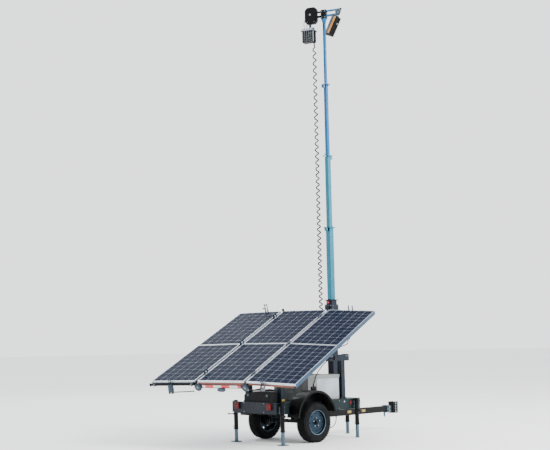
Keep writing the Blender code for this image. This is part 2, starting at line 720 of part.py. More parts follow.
# ---------------------------------------------------------------- array


def panel(label, parent, s_low, w_low):
    """A framed module: a thin laminate in a deep rim, open underneath."""
    slab = box((s_low, w_low, PANEL_TOP - PANEL_T), (s_low + PANEL_L, w_low + PANEL_W, PANEL_TOP))
    rim = 0.012
    cut(
        slab,
        box(
            (s_low + rim, w_low + rim, PANEL_TOP - PANEL_T - 0.01),
            (s_low + PANEL_L - rim, w_low + PANEL_W - rim, PANEL_TOP - LAMINATE),
        ),
    )
    named(slab, label, "panel_cells", parent)


def rows():
    yield "lower", -ROW_GAP / 2 - PANEL_L
    yield "upper", ROW_GAP / 2


def beam(s_low, s_high, w_low, w_high, n_low, n_high):
    return box((s_low, w_low, n_low), (s_high, w_high, n_high))


def turret(slew_axis):
    base = rod((0, 0, 1.380 + GAP), (0, 0, 1.420), 0.110, 28)
    column = centred((0, 0, 1.515), (0.110, 0.110, 0.20))
    bridge = centred((0, 0, 1.600), (0.110, 0.200, 0.030))
    ears = [centred((0, side * 0.090, 1.650), (0.090, 0.016, 0.110)) for side in (-1, 1)]
    bosses = [rod((0, side * 0.082, PIVOT.z), (0, side * 0.104, PIVOT.z), 0.045, 20) for side in (-1, 1)]
    named(fuse(base, column, bridge, *ears, *bosses), "array_turret", "frame_navy", slew_axis)


def centre_frame(axis):
    top = PANEL_TOP - PANEL_T - GAP
    low = top - RAIL
    half = PANEL_W / 2
    length = PANEL_L + ROW_GAP / 2
    rails = [beam(-length, length, side * half, side * (half - RAIL), low, top) for side in (-1, 1)]
    crosses = [
        beam(s - 0.025, s + 0.025, -half + 0.01, half - 0.01, low, top)
        for s in (-1.56, -0.80, -0.16, 0.16, 0.80, 1.56)
    ]
    spine = [beam(-0.18, 0.18, y - 0.010, y + 0.010, -0.010, low + 0.01) for y in (-0.050, 0.050)]
    barrel = rod((0, -0.0815, 0), (0, 0.0815, 0), 0.030, 20)
    tail = beam(-length - 0.010, -length + 0.040, -half - 0.02, half + 0.02, low - 0.055, low + 0.01)
    discs = []
    for side in (-1, 1):
        disc_w, disc_n = side * (half + 0.015), low - 0.035
        discs.append(rod((-length - 0.022, disc_w, disc_n), (-length - 0.006, disc_w, disc_n), 0.072, 24))
    frame = fuse(rails[0], rails[1], *crosses, *spine, barrel, tail, *discs)
    for label, side in (("near", -1), ("far", 1)):
        hinge_w, hinge_n = hinge_line(label)
        leaf_w = hinge_w - side * 0.020
        for s in HINGE_STATIONS:
            for s_low, s_high in ((s - 0.060, s - 0.0203), (s + 0.0203, s + 0.060)):
                upright = beam(s_low, s_high, leaf_w - 0.003, leaf_w + 0.003, low + 0.01, hinge_n + 0.004)
                inner_w, outer_w = side * (half - 0.02), leaf_w + side * 0.003
                foot = beam(s_low, s_high, inner_w, outer_w, low + 0.01, low + 0.03)
                tab = beam(s_low, s_high, leaf_w, hinge_w, hinge_n - 0.004, hinge_n + 0.004)
                knuckle = rod((s_low, hinge_w, hinge_n), (s_high, hinge_w, hinge_n), 0.011, 12)
                fuse(frame, upright, foot, tab, knuckle)
    named(frame, "array_centre_frame", "array_metal", axis)
    for label, s_low in rows():
        panel("panel_centre_" + label, axis, s_low, -half)


def hinge_line(label):
    side = -1 if label == "near" else 1
    return side * (PANEL_W + WING_GAP[label]) / 2, PANEL_TOP + HINGE_RISE[label]


def wing(label, tilt_axis):
    side = -1 if label == "near" else 1
    hinge_w, hinge_n = hinge_line(label)
    droop = (-side * WING_DROOP[label], 0, 0)
    axis = empty("wing_axis_" + label, (0, hinge_w, hinge_n), tilt_axis, droop)
    shift = Vector((0, -hinge_w, -hinge_n))
    inner = side * (PANEL_W / 2 + WING_GAP[label])
    outer = inner + side * PANEL_W
    top = PANEL_TOP - PANEL_T - GAP
    low = top - WING_RAIL
    length = PANEL_L + ROW_GAP / 2
    rails = [
        beam(-length, length, edge, edge + way * WING_RAIL, low, top)
        for edge, way in ((inner, side), (outer, -side))
    ]
    crosses = [
        beam(s - 0.020, s + 0.020, inner + side * 0.01, outer - side * 0.01, low, top)
        for s in (-1.58, -0.80, 0.0, 0.80, 1.58)
    ]
    frame = fuse(rails[0], rails[1], *crosses)
    for s in HINGE_STATIONS:
        leaf_w = hinge_w + side * 0.020
        upright = beam(s - 0.020, s + 0.020, leaf_w - 0.003, leaf_w + 0.003, low + 0.01, hinge_n + 0.004)
        foot = beam(s - 0.020, s + 0.020, leaf_w - side * 0.003, inner + side * 0.01, low + 0.01, low + 0.03)
        tab = beam(s - 0.020, s + 0.020, leaf_w, hinge_w, hinge_n - 0.004, hinge_n + 0.004)
        knuckle = rod((s - 0.020, hinge_w, hinge_n), (s + 0.020, hinge_w, hinge_n), 0.011, 12)
        fuse(frame, upright, foot, tab, knuckle)
    holder = empty("wing_shift_" + label, shift, axis)
    named(frame, "wing_frame_" + label, "array_metal", holder)
    for row, s_low in rows():
        panel("panel_%s_%s" % (label, row), holder, s_low, min(inner, outer))


# ---------------------------------------------------------------- cords

LEAD_ROUTE = (
    (0.210, -0.4580, 1.0105),
    (0.210, -0.4600, 1.040),
    (0.222, -0.4780, 1.110),
    (0.255, -0.4860, 1.200),
    (0.330, -0.4880, 1.300),
    (0.460, -0.4900, 1.410),
    (0.600, -0.4890, 1.490),
    (0.700, -0.4875, 1.522),
    (0.750, -0.4875, 1.525),
    (0.7790, -0.4875, 1.525),
)
LOOP_ROUTE = (
    (1.290, -0.0300, 0.3690),
    (1.290, -0.0310, 0.340),
    (1.255, -0.0450, 0.260),
    (1.150, -0.0700, 0.190),
    (1.000, -0.0900, 0.157),
    (0.850, -0.1050, 0.150),
    (0.600, -0.1250, 0.180),
    (0.350, -0.1400, 0.255),
    (0.180, -0.1500, 0.325),
    (0.080, -0.1500, 0.357),
    (0.050, -0.1500, 0.360),
    (0.0335, -0.1500, 0.360),
)


def coil_axis():
    """Where the curly cord's axis stands, in plan."""
    turn = Matrix.Rotation(HEAD_TURN, 3, "Z")
    return Vector((MAST_X, MAST_Y, 0)) + turn @ Vector((0, CURLY_OFFSET, 0))


def cords():
    coil = coil_axis()
    tube = rod((coil.x, coil.y, CURLY_ENDS[0]), (coil.x, coil.y, CURLY_ENDS[1]), CURLY_RADIUS, 16)
    named(tube, "curly_cord", "black_plastic")
    wire("solar_lead", smooth_path(LEAD_ROUTE, 0.030), 0.006, "black_plastic")
    wire("brake_wiring", smooth_path(LOOP_ROUTE, 0.030), 0.006, "black_plastic")


def build():
    deck()
    chassis()
    tongue()
    axle_and_springs()
    bumper()
    for side, label in ((-1, "near"), (1, "far")):
        fender(side, label)
        wheel(side, label)
    for entry in JACKS:
        jack(*entry)
    cabinet()
    stand()
    mast()
    winch()
    head()
    slew_axis = empty("slew_axis", (PIVOT.x, PIVOT.y, 0), rotation=(0, 0, SLEW))
    turret(slew_axis)
    tilt_axis = empty("tilt_axis", (0, 0, PIVOT.z), slew_axis, (0, -TILT, 0))
    centre_frame(tilt_axis)
    wing("near", tilt_axis)
    wing("far", tilt_axis)
    cords()


build()
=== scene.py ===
"""Towable solar light tower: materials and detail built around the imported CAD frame.

Metres, +Z up. +X points along the tongue and -Y is the near side. Places are measured, as in the CAD source,
from the point on the ground under the axle's middle, and BASE moves them to the frame's origin.
"""

import math

import bmesh
import bpy
import numpy as np
from mathutils import Matrix, Vector


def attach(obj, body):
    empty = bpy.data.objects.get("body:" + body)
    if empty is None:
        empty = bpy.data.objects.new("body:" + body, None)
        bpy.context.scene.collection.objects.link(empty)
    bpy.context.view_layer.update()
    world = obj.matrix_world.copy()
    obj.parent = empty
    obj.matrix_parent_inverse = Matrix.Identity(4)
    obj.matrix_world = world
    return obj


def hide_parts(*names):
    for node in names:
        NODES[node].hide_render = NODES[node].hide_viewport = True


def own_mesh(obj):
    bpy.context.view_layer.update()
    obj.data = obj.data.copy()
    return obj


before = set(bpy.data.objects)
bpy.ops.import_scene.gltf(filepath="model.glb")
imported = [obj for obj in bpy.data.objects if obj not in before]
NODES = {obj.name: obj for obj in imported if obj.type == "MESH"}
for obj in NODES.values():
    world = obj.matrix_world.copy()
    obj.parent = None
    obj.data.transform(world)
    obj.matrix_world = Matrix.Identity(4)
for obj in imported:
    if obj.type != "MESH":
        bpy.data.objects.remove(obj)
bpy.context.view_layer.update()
BASE = Matrix.Translation((-0.3752, 0.0027, 0.0))

# ------------------------------ frames that the CAD pieces are drawn in

PIVOT = Vector((-0.545, 0.0, 1.69))
SLEW, TILT = math.radians(13.3), math.radians(22.6)
PANEL_W, PANEL_L, PANEL_T, PANEL_TOP = 0.97, 1.614, 0.035, 0.15
ROW_GAP = 0.013
WING_GAP = {"near": 0.06, "far": 0.07}
WING_DROOP = {"near": math.radians(2.8), "far": math.radians(1.2)}
HINGE_RISE = {"near": 0.012, "far": 0.072}
HINGE_STATIONS = (-1.3, 0.0, 1.3)
MAST_X, MAST_Y = 1.344, 0.061
MAST_SIDES = (0.147, 0.107, 0.082, 0.062, 0.046)
MAST_TOPS = (2.656, 4.096, 5.536, 6.976, 8.3)
HEAD_TURN = math.radians(20)
HEAD_Z = 8.47
NEAR_AIM, NEAR_SWING = math.radians(27), math.radians(-40)
COIL_Y = 0.228  # the curly cord's axis along the lamp arm
SIDES = ((-1, "near"), (1, "far"))


def turn(angle, axis):
    return Matrix.Rotation(angle, 4, axis)


def move(x=0.0, y=0.0, z=0.0):
    return Matrix.Translation((x, y, z))


ARRAY = Matrix.Translation(PIVOT) @ turn(SLEW, "Z") @ turn(-TILT, "Y")
HEAD = move(MAST_X, MAST_Y) @ turn(HEAD_TURN, "Z")
MAST = move(MAST_X, MAST_Y)
LAMP_NEAR = HEAD @ move(-0.006, -0.32, HEAD_Z - 0.07) @ turn(NEAR_AIM, "X")
LAMP_NEAR_SWUNG = LAMP_NEAR @ move(-0.17, -0.09) @ turn(NEAR_SWING, "Z")
LAMP_FAR = HEAD @ move(-0.06, 0.22, HEAD_Z - 0.095)


def side_of(label):
    return -1 if label == "near" else 1


def hinge_line(label):
    return side_of(label) * (PANEL_W + WING_GAP[label]) / 2, PANEL_TOP + HINGE_RISE[label]


def wing_frame(label):
    w, n = hinge_line(label)
    return ARRAY @ move(0, w, n) @ turn(-side_of(label) * WING_DROOP[label], "X") @ move(0, -w, -n)


def add(name, data):
    obj = bpy.data.objects.new(name, data)
    bpy.context.scene.collection.objects.link(obj)
    return obj


# ------------------------------ camera, floor and light


CAMERA_AT = (-15.8, -15.454, 2.0685)
CAMERA_TURNS = math.radians(48.24), math.radians(4.43), math.radians(-1.04)  # yaw, pitch, roll
SENSOR_WIDTH, LENS = 36, 75.9
CAMERA_SHIFT = (0.1247, 0.0305)
FLOOR_RADIUS, FLOOR_DROP = 90, 0.0005
SKY_COLOUR, SKY_STRENGTH = (0.97, 0.985, 1.0, 1), 2.1
LIGHTS = (
    ("key", (2, -16, 13), 5200, 7, (1.0, 0.98, 0.95)),
    ("fill", (13, -9, 8), 900, 8, (0.85, 0.93, 1.0)),
    ("back", (6, 15, 12), 900, 8, (0.9, 0.95, 1.0)),
)
LIGHTS_AIM = (0.3, 0, 2.5)


def set_camera():
    yaw, pitch, roll = CAMERA_TURNS
    ahead = Vector((math.cos(yaw) * math.cos(pitch), math.sin(yaw) * math.cos(pitch), math.sin(pitch)))
    level = Vector((math.sin(yaw), -math.cos(yaw), 0))
    up = level.cross(ahead)
    right = level * math.cos(roll) + up * math.sin(roll)
    above = up * math.cos(roll) - level * math.sin(roll)
    data = bpy.data.cameras.new("camera")
    data.sensor_width, data.lens = SENSOR_WIDTH, LENS
    data.shift_x, data.shift_y = CAMERA_SHIFT
    data.clip_end = 300
    camera = add("camera", data)
    turned = Matrix((right, above, -ahead)).transposed().to_4x4()
    camera.matrix_world = BASE @ Matrix.Translation(CAMERA_AT) @ turned
    bpy.context.scene.camera = camera


def lay_floor():
    bm = bmesh.new()
    bmesh.ops.create_circle(bm, cap_ends=True, segments=96, radius=FLOOR_RADIUS)
    mesh = bpy.data.meshes.new("floor")
    bm.to_mesh(mesh)
    bm.free()
    floor = add("floor", mesh)
    floor.location.z = -FLOOR_DROP
    look = Look("floor_paint")
    look.base((0.9, 0.9, 0.9), 0.85, specular=0.1)
    tone = look.ramp(look.noise(0.6, 4), (0.0, (0.84, 0.84, 0.84)), (1.0, (0.9, 0.9, 0.9)))
    look.set("Base Color", tone)
    mesh.materials.append(look.material)


def light_up():
    world = bpy.data.worlds.new("studio")
    bpy.context.scene.world = world
    world.use_nodes = True
    sky = world.node_tree.nodes["Background"]
    sky.inputs["Color"].default_value = SKY_COLOUR
    sky.inputs["Strength"].default_value = SKY_STRENGTH
    for name, place, power, size, colour in LIGHTS:
        light = bpy.data.lights.new(name, "AREA")
        light.energy, light.size, light.color = power, size, colour
        lamp = add(name, light)
        lamp.location = place
        aim = Vector(LIGHTS_AIM) - Vector(place)
        lamp.rotation_euler = aim.to_track_quat("-Z", "Y").to_euler()


# ------------------------------ materials


class Look:
    """A procedural material, built up node by node."""

    def __init__(self, name):
        self.material = bpy.data.materials.new(name)
        self.material.use_nodes = True
        self.tree = self.material.node_tree
        self.shader = self.tree.nodes["Principled BSDF"]
        self.coords = self.tree.nodes.new("ShaderNodeTexCoord").outputs["Object"]
        self.height = None

    def node(self, kind, **settings):
        made = self.tree.nodes.new(kind)
        for key, value in settings.items():
            setattr(made, key, value)
        return made

    def link(self, source, target):
        self.tree.links.new(source, target)

    def base(self, colour, roughness, metallic=0.0, coat=0.0, specular=None):
        self.shader.inputs["Base Color"].default_value = (*colour, 1)
        self.shader.inputs["Roughness"].default_value = roughness
        self.shader.inputs["Metallic"].default_value = metallic
        self.shader.inputs["Coat Weight"].default_value = coat
        if specular is not None:
            self.shader.inputs["Specular IOR Level"].default_value = specular
        return self

    def stretched(self, scale):
        mapping = self.node("ShaderNodeMapping")
        mapping.inputs["Scale"].default_value = scale
        self.link(self.coords, mapping.inputs["Vector"])
        return mapping.outputs["Vector"]

    def noise(self, scale, detail=3, stretch=None, rough=0.55):
        made = self.node("ShaderNodeTexNoise")
        made.inputs["Scale"].default_value = scale
        made.inputs["Detail"].default_value = detail
        made.inputs["Roughness"].default_value = rough
        self.link(self.stretched(stretch) if stretch else self.coords, made.inputs["Vector"])
        return made.outputs["Fac"]

    def cells(self, scale, feature="F1", stretch=None, output="Distance"):
        made = self.node("ShaderNodeTexVoronoi", feature=feature)
        made.inputs["Scale"].default_value = scale
        self.link(self.stretched(stretch) if stretch else self.coords, made.inputs["Vector"])
        return made.outputs[output]

    def crystals(self, scale, stretch=None):
        """A random grey for each cell."""
        grey = self.node("ShaderNodeRGBToBW")
        self.link(self.cells(scale, stretch=stretch, output="Color"), grey.inputs["Color"])
        return grey.outputs["Val"]

    def ramp(self, source, *stops):
        made = self.node("ShaderNodeValToRGB")
        elements = made.color_ramp.elements
        while len(elements) < len(stops):
            elements.new(0.5)
        for element, (position, colour) in zip(elements, stops):
            element.position = position
            element.color = (*colour, 1) if hasattr(colour, "__len__") else (colour, colour, colour, 1)
        self.link(source, made.inputs["Fac"])
        return made.outputs["Color"]

    def mix(self, factor, first, second, blend="MIX"):
        made = self.node("ShaderNodeMix", data_type="RGBA", blend_type=blend)
        for socket, value in (("Factor", factor), ("A", first), ("B", second)):
            target = [s for s in made.inputs if s.name == socket and s.enabled][0]
            if hasattr(value, "is_linked"):
                self.link(value, target)
            elif hasattr(value, "__len__"):
                target.default_value = (*value, 1)
            else:
                target.default_value = value
        return [s for s in made.outputs if s.enabled][0]

    def math(self, operation, first, second=0.0, clamp=False):
        made = self.node("ShaderNodeMath", operation=operation, use_clamp=clamp)
        for socket, value in zip(made.inputs, (first, second)):
            if hasattr(value, "is_linked"):
                self.link(value, socket)
            else:
                socket.default_value = value
        return made.outputs["Value"]

    def axis(self, letter):
        made = self.node("ShaderNodeSeparateXYZ")
        self.link(self.coords, made.inputs["Vector"])
        return made.outputs[letter]

    def patches(self, scale, detail, low, high, amount):
        """Patches of noise, from 0 to amount."""
        return self.math("MULTIPLY", self.ramp(self.noise(scale, detail), (low, 0.0), (high, 1.0)), amount)

    def uneven(self, scale, detail, swing, least):
        """A roughness that wanders by swing above its least."""
        return self.math("ADD", self.math("MULTIPLY", self.noise(scale, detail), swing), least)

    def facing_up(self):
        """How far a surface faces the sky, from 0 to 1."""
        geometry = self.node("ShaderNodeNewGeometry")
        made = self.node("ShaderNodeSeparateXYZ")
        self.link(geometry.outputs["Normal"], made.inputs["Vector"])
        return self.math("MAXIMUM", made.outputs["Z"], 0.0)

    def set(self, socket, source):
        self.link(source, self.shader.inputs[socket])
        return self

    def bump(self, source, strength, distance=0.001):
        made = self.node("ShaderNodeBump")
        made.inputs["Strength"].default_value = strength
        made.inputs["Distance"].default_value = distance
        self.link(source, made.inputs["Height"])
        if self.height:
            self.link(self.height, made.inputs["Normal"])
        self.height = made.outputs["Normal"]
        self.link(self.height, self.shader.inputs["Normal"])
        return self


def lighter(colour, amount):
    return tuple(min(1.0, channel * amount) for channel in colour)


DUST = (0.16, 0.15, 0.14)


def paint(name, colour, roughness=0.38, metallic=0.0, dust=0.25, dust_colour=DUST, chips=0.5, shine=0.16):
    """Sprayed paint with orange peel, a film of dust on what faces up, and small chips down to primer."""
    look = Look(name).base(colour, roughness, metallic, 0.0, shine)
    tone = look.ramp(look.noise(3.0, 5), (0.3, lighter(colour, 0.78)), (0.72, lighter(colour, 1.25)))
    film = look.patches(9.0, 6, 0.35, 0.75, dust)
    film = look.math("MULTIPLY", film, look.math("ADD", look.facing_up(), 0.35), clamp=True)
    tone = look.mix(film, tone, dust_colour)
    spots = look.patches(140.0, 2, 0.73, 0.76, chips)
    tone = look.mix(spots, tone, (0.12, 0.11, 0.1))
    look.set("Base Color", tone)
    rough = look.uneven(22.0, 4, 0.22, roughness - 0.11)
    look.set("Roughness", look.math("ADD", rough, look.math("MULTIPLY", film, 0.6), clamp=True))
    return look.bump(look.noise(320.0, 2), 0.12, 0.0006).material


def zinc(name, colour, roughness=0.42, spangle=46.0, stain=0.35, streak=None):
    """Galvanised or mill metal: crystals of slightly different tone and gloss, faint white stains."""
    look = Look(name).base(colour, roughness, 0.95)
    grain = look.crystals(spangle)
    tone = look.ramp(grain, (0.1, lighter(colour, 0.8)), (0.9, lighter(colour, 1.18)))
    if streak:
        lines = look.noise(1.0, 5, streak)
        tone = look.mix(look.ramp(lines, (0.35, 0.0), (0.7, 0.55)), tone, lighter(colour, 1.35))
    cloud = look.patches(7.0, 6, 0.45, 0.8, stain)
    look.set("Base Color", look.mix(cloud, tone, lighter(colour, 0.55)))
    rough = look.math("ADD", look.math("MULTIPLY", grain, 0.18), roughness - 0.09)
    look.set("Roughness", look.math("ADD", rough, look.math("MULTIPLY", cloud, 0.25), clamp=True))
    return look.bump(look.noise(260.0, 3), 0.1, 0.0005).material


def plastic(name, colour, roughness=0.5, grain=420.0, dust=0.12, bump=0.25, shine=0.16):
    """Moulded plastic with a fine grain and a little dust."""
    look = Look(name).base(colour, roughness, 0.0, 0.0, shine)
    tone = look.ramp(look.noise(6.0, 4), (0.3, lighter(colour, 0.82)), (0.75, lighter(colour, 1.3)))
    film = look.patches(14.0, 6, 0.4, 0.8, dust)
    look.set("Base Color", look.mix(film, tone, (0.15, 0.15, 0.15)))
    look.set("Roughness", look.uneven(30.0, 3, 0.2, roughness - 0.1))
    return look.bump(look.cells(grain), bump, 0.0004).material


def tyre_rubber():
    look = Look("tyre_rubber").base((0.01, 0.011, 0.013), 0.78, specular=0.1)
    dusty = look.ramp(look.noise(11.0, 6), (0.38, (0.0026, 0.003, 0.0036)), (0.8, (0.01, 0.01, 0.01)))
    look.set("Base Color", dusty)
    look.set("Roughness", look.uneven(45.0, 3, 0.2, 0.66))
    return look.bump(look.noise(210.0, 4), 0.22, 0.001).material


def red_lens(name, colour):
    look = Look(name).base(colour, 0.28, 0.0, 0.0, 0.25)
    ribs = look.cells(95.0)
    look.set("Base Color", look.ramp(ribs, (0.0, lighter(colour, 1.3)), (0.7, lighter(colour, 0.65))))
    return look.bump(ribs, 0.35, 0.002).material


FINGER_PITCH = 0.0023  # between the fine lines across a cell


def solar_cell():
    look = Look("solar_cell").base((0.02, 0.035, 0.085), 0.16, specular=0.5)
    look.shader.inputs["IOR"].default_value = 1.03
    dark, bright = (0.004, 0.0058, 0.014), (0.009, 0.0125, 0.028)
    tone = look.ramp(look.crystals(38.0, (1, 1.6, 1)), (0.1, dark), (0.9, bright))
    fingers = look.math("FRACT", look.math("MULTIPLY", look.axis("X"), 1 / FINGER_PITCH))
    tone = look.mix(look.ramp(fingers, (0.0, 0.05), (0.12, 0.0)), tone, (0.06, 0.07, 0.1))
    # Pale blue-grey patches over the cells: a painted sheen of sky reflection, while the glass itself barely
    # reflects.
    painted_sheen = look.ramp(look.noise(1.3, 5), (0.3, 0.0), (0.8, 0.04))
    look.set("Base Color", look.mix(painted_sheen, tone, (0.16, 0.19, 0.24)))
    look.set("Roughness", look.uneven(5.0, 5, 0.2, 0.14))
    return look.bump(look.noise(420.0, 2), 0.04, 0.0003).material


def lamp_glass():
    look = Look("lamp_glass").base((0.78, 0.55, 0.28), 0.22, specular=0.2)
    dots = look.cells(60.0)
    look.set("Base Color", look.ramp(dots, (0.1, (0.62, 0.3, 0.09)), (0.42, (0.46, 0.2, 0.055))))
    return look.bump(dots, 0.2, 0.001).material


TAPE_REPEAT = 0.34  # a red and a white block


def reflective_tape():
    """Red and white blocks along y."""
    look = Look("reflective_tape").base((0.8, 0.8, 0.8), 0.3, 0.0, 0.6)
    step = look.math("FRACT", look.math("MULTIPLY", look.axis("Y"), 1 / TAPE_REPEAT))
    red = look.math("GREATER_THAN", step, 0.5)
    honey = look.cells(240.0, "DISTANCE_TO_EDGE")
    colour = look.mix(red, (0.62, 0.62, 0.6), (0.55, 0.006, 0.006))
    look.set("Base Color", look.mix(look.ramp(honey, (0.0, 0.35), (0.06, 0.0)), colour, (0.25, 0.22, 0.22)))
    return look.bump(honey, 0.15, 0.0004).material


def sticker(name, colour, grime_colour):
    """A plain sticker: a coloured ground, grimy in patches, with no lettering."""
    look = Look(name).base(colour, 0.35, 0.0, 0.3)
    grime = look.ramp(look.noise(30.0, 5), (0.35, 0.0), (0.8, 0.45))
    look.set("Base Color", look.mix(grime, colour, grime_colour))
    look.set("Roughness", look.uneven(60.0, 3, 0.2, 0.25))
    return look.material


set_camera()
lay_floor()
light_up()

M = {
    "navy": paint("navy_paint", (0.0045, 0.009, 0.017), 0.4, 0.0, 0.09, chips=0.25),
    "deck": paint("deck_paint", (0.003, 0.01, 0.012), 0.42, 0.0, 0.07, chips=0.25),
    "black": paint("black_paint", (0.0012, 0.0014, 0.0017), 0.36, 0.0, 0.05, chips=0.2, shine=0.12),
    "grey": paint("bumper_paint", (0.015, 0.018, 0.026), 0.42, 0.0, 0.12, chips=0.3),
    "cabinet": paint("cabinet_paint", (0.17, 0.18, 0.18), 0.45, 0.0, 0.2, (0.2, 0.18, 0.14), 0.15),
    # Lighter than the cabinet's own paint: painted light for the near face, lit while the rear stands in
    # shade.
    "cabinet_panel_painted_light": paint("panel_paint_painted_light", (0.3, 0.33, 0.36), 0.4, 0.0, 0.14, (0.24, 0.22, 0.18), 0.15),
    "zinc": zinc("galvanised_steel", (0.075, 0.12, 0.155)),
    "mast": zinc("mast_steel", (0.03, 0.145, 0.2), 0.4, 30.0, 0.3, (22, 22, 0.7)),
    "mast_top": zinc("mast_steel_top", (0.022, 0.1, 0.22), 0.4, 30.0, 0.25, (22, 22, 0.7)),
    "alloy": zinc("frame_aluminium", (0.52, 0.56, 0.6), 0.36, 90.0, 0.12, (0.8, 40, 40)),
    "array": zinc("array_steel", (0.045, 0.062, 0.085), 0.45, 60.0, 0.3),
    "bolt": zinc("bolt_zinc", (0.2, 0.22, 0.24), 0.36, 150.0, 0.25),
    "rim": zinc("rim_steel", (0.02, 0.036, 0.056), 0.42, 60.0, 0.35),
    "tyre": tyre_rubber(),
    "plastic": plastic("black_plastic", (0.0022, 0.0026, 0.0036), 0.45, dust=0.03, shine=0.12),
    "cord": plastic("cord_jacket", (0.003, 0.0035, 0.0045), 0.5, 900.0, 0.02, 0.1, shine=0.08),
    "backsheet": plastic("backsheet", (0.18, 0.2, 0.24), 0.5, 300.0, 0.04, 0.05),
    "underside": plastic("module_underside", (0.42, 0.44, 0.46), 0.5, 260.0, 0.15, 0.05),
    "blue_arm": paint("blue_arm", (0.02, 0.13, 0.3), 0.38, 0.2, 0.03),
    # A dark blue strip over the frames' side edges: painted shade with a painted sky reflection, not a paint
    # of their own.
    "painted_shade_strip": paint("painted_shade_strip", (0.02, 0.048, 0.09), 0.38, 0.2, 0.05),
    "coral": paint("coral_edge", (0.16, 0.06, 0.045), 0.45, 0.0, 0.12),
    "red": red_lens("tail_lens", (0.13, 0.0015, 0.004)),
    "amber": red_lens("amber_lens", (0.65, 0.16, 0.01)),
    "yellow": sticker("yellow_label", (0.24, 0.17, 0.006), (0.07, 0.05, 0.008)),
    "white": sticker("white_label", (0.6, 0.6, 0.58), (0.3, 0.29, 0.27)),
    "green": plastic("green_connector", (0.01, 0.16, 0.07), 0.4, 500.0, 0.05, 0.05),
    "knob": plastic("knob_red", (0.4, 0.03, 0.05), 0.35, 500.0, 0.05, 0.05),
    "glass": lamp_glass(),
    "cell": solar_cell(),
    "tape": reflective_tape(),
    "busbar": zinc("busbar_tin", (0.05, 0.06, 0.08), 0.5, 200.0, 0.1),
    "slate": paint("slate_bracket", (0.045, 0.07, 0.095), 0.4, 0.2, 0.1),
    "pale": plastic("pale_plate", (0.42, 0.43, 0.5), 0.4, 300.0, 0.08, 0.08),
}

# ------------------------------ shapes

PLUS_X, PLUS_Y, UP = (1, 0, 0), (0, 1, 0), (0, 0, 1)
MINUS_X, MINUS_Y, DOWN = (-1, 0, 0), (0, -1, 0), (0, 0, -1)
ORIGIN = (0, 0, 0)


def around(radius, share):
    """A point on a circle, at a share of the way round it."""
    return radius * math.cos(2 * math.pi * share), radius * math.sin(2 * math.pi * share)


def facing(direction):
    return Vector(direction).to_track_quat("Z", "Y").to_matrix().to_4x4()


def round_edges(bm, edges, width, segments=2):
    bmesh.ops.bevel(bm, geom=edges, offset=width, segments=segments, affect="EDGES", profile=0.7)


def join_rings(bm, rings):
    """Faces between each ring of vertices and the next one."""
    for first, second in zip(rings, rings[1:]):
        for k in range(len(first)):
            bm.faces.new((first[k - 1], first[k], second[k], second[k - 1]))


WASHER = 0.0018  # thickness


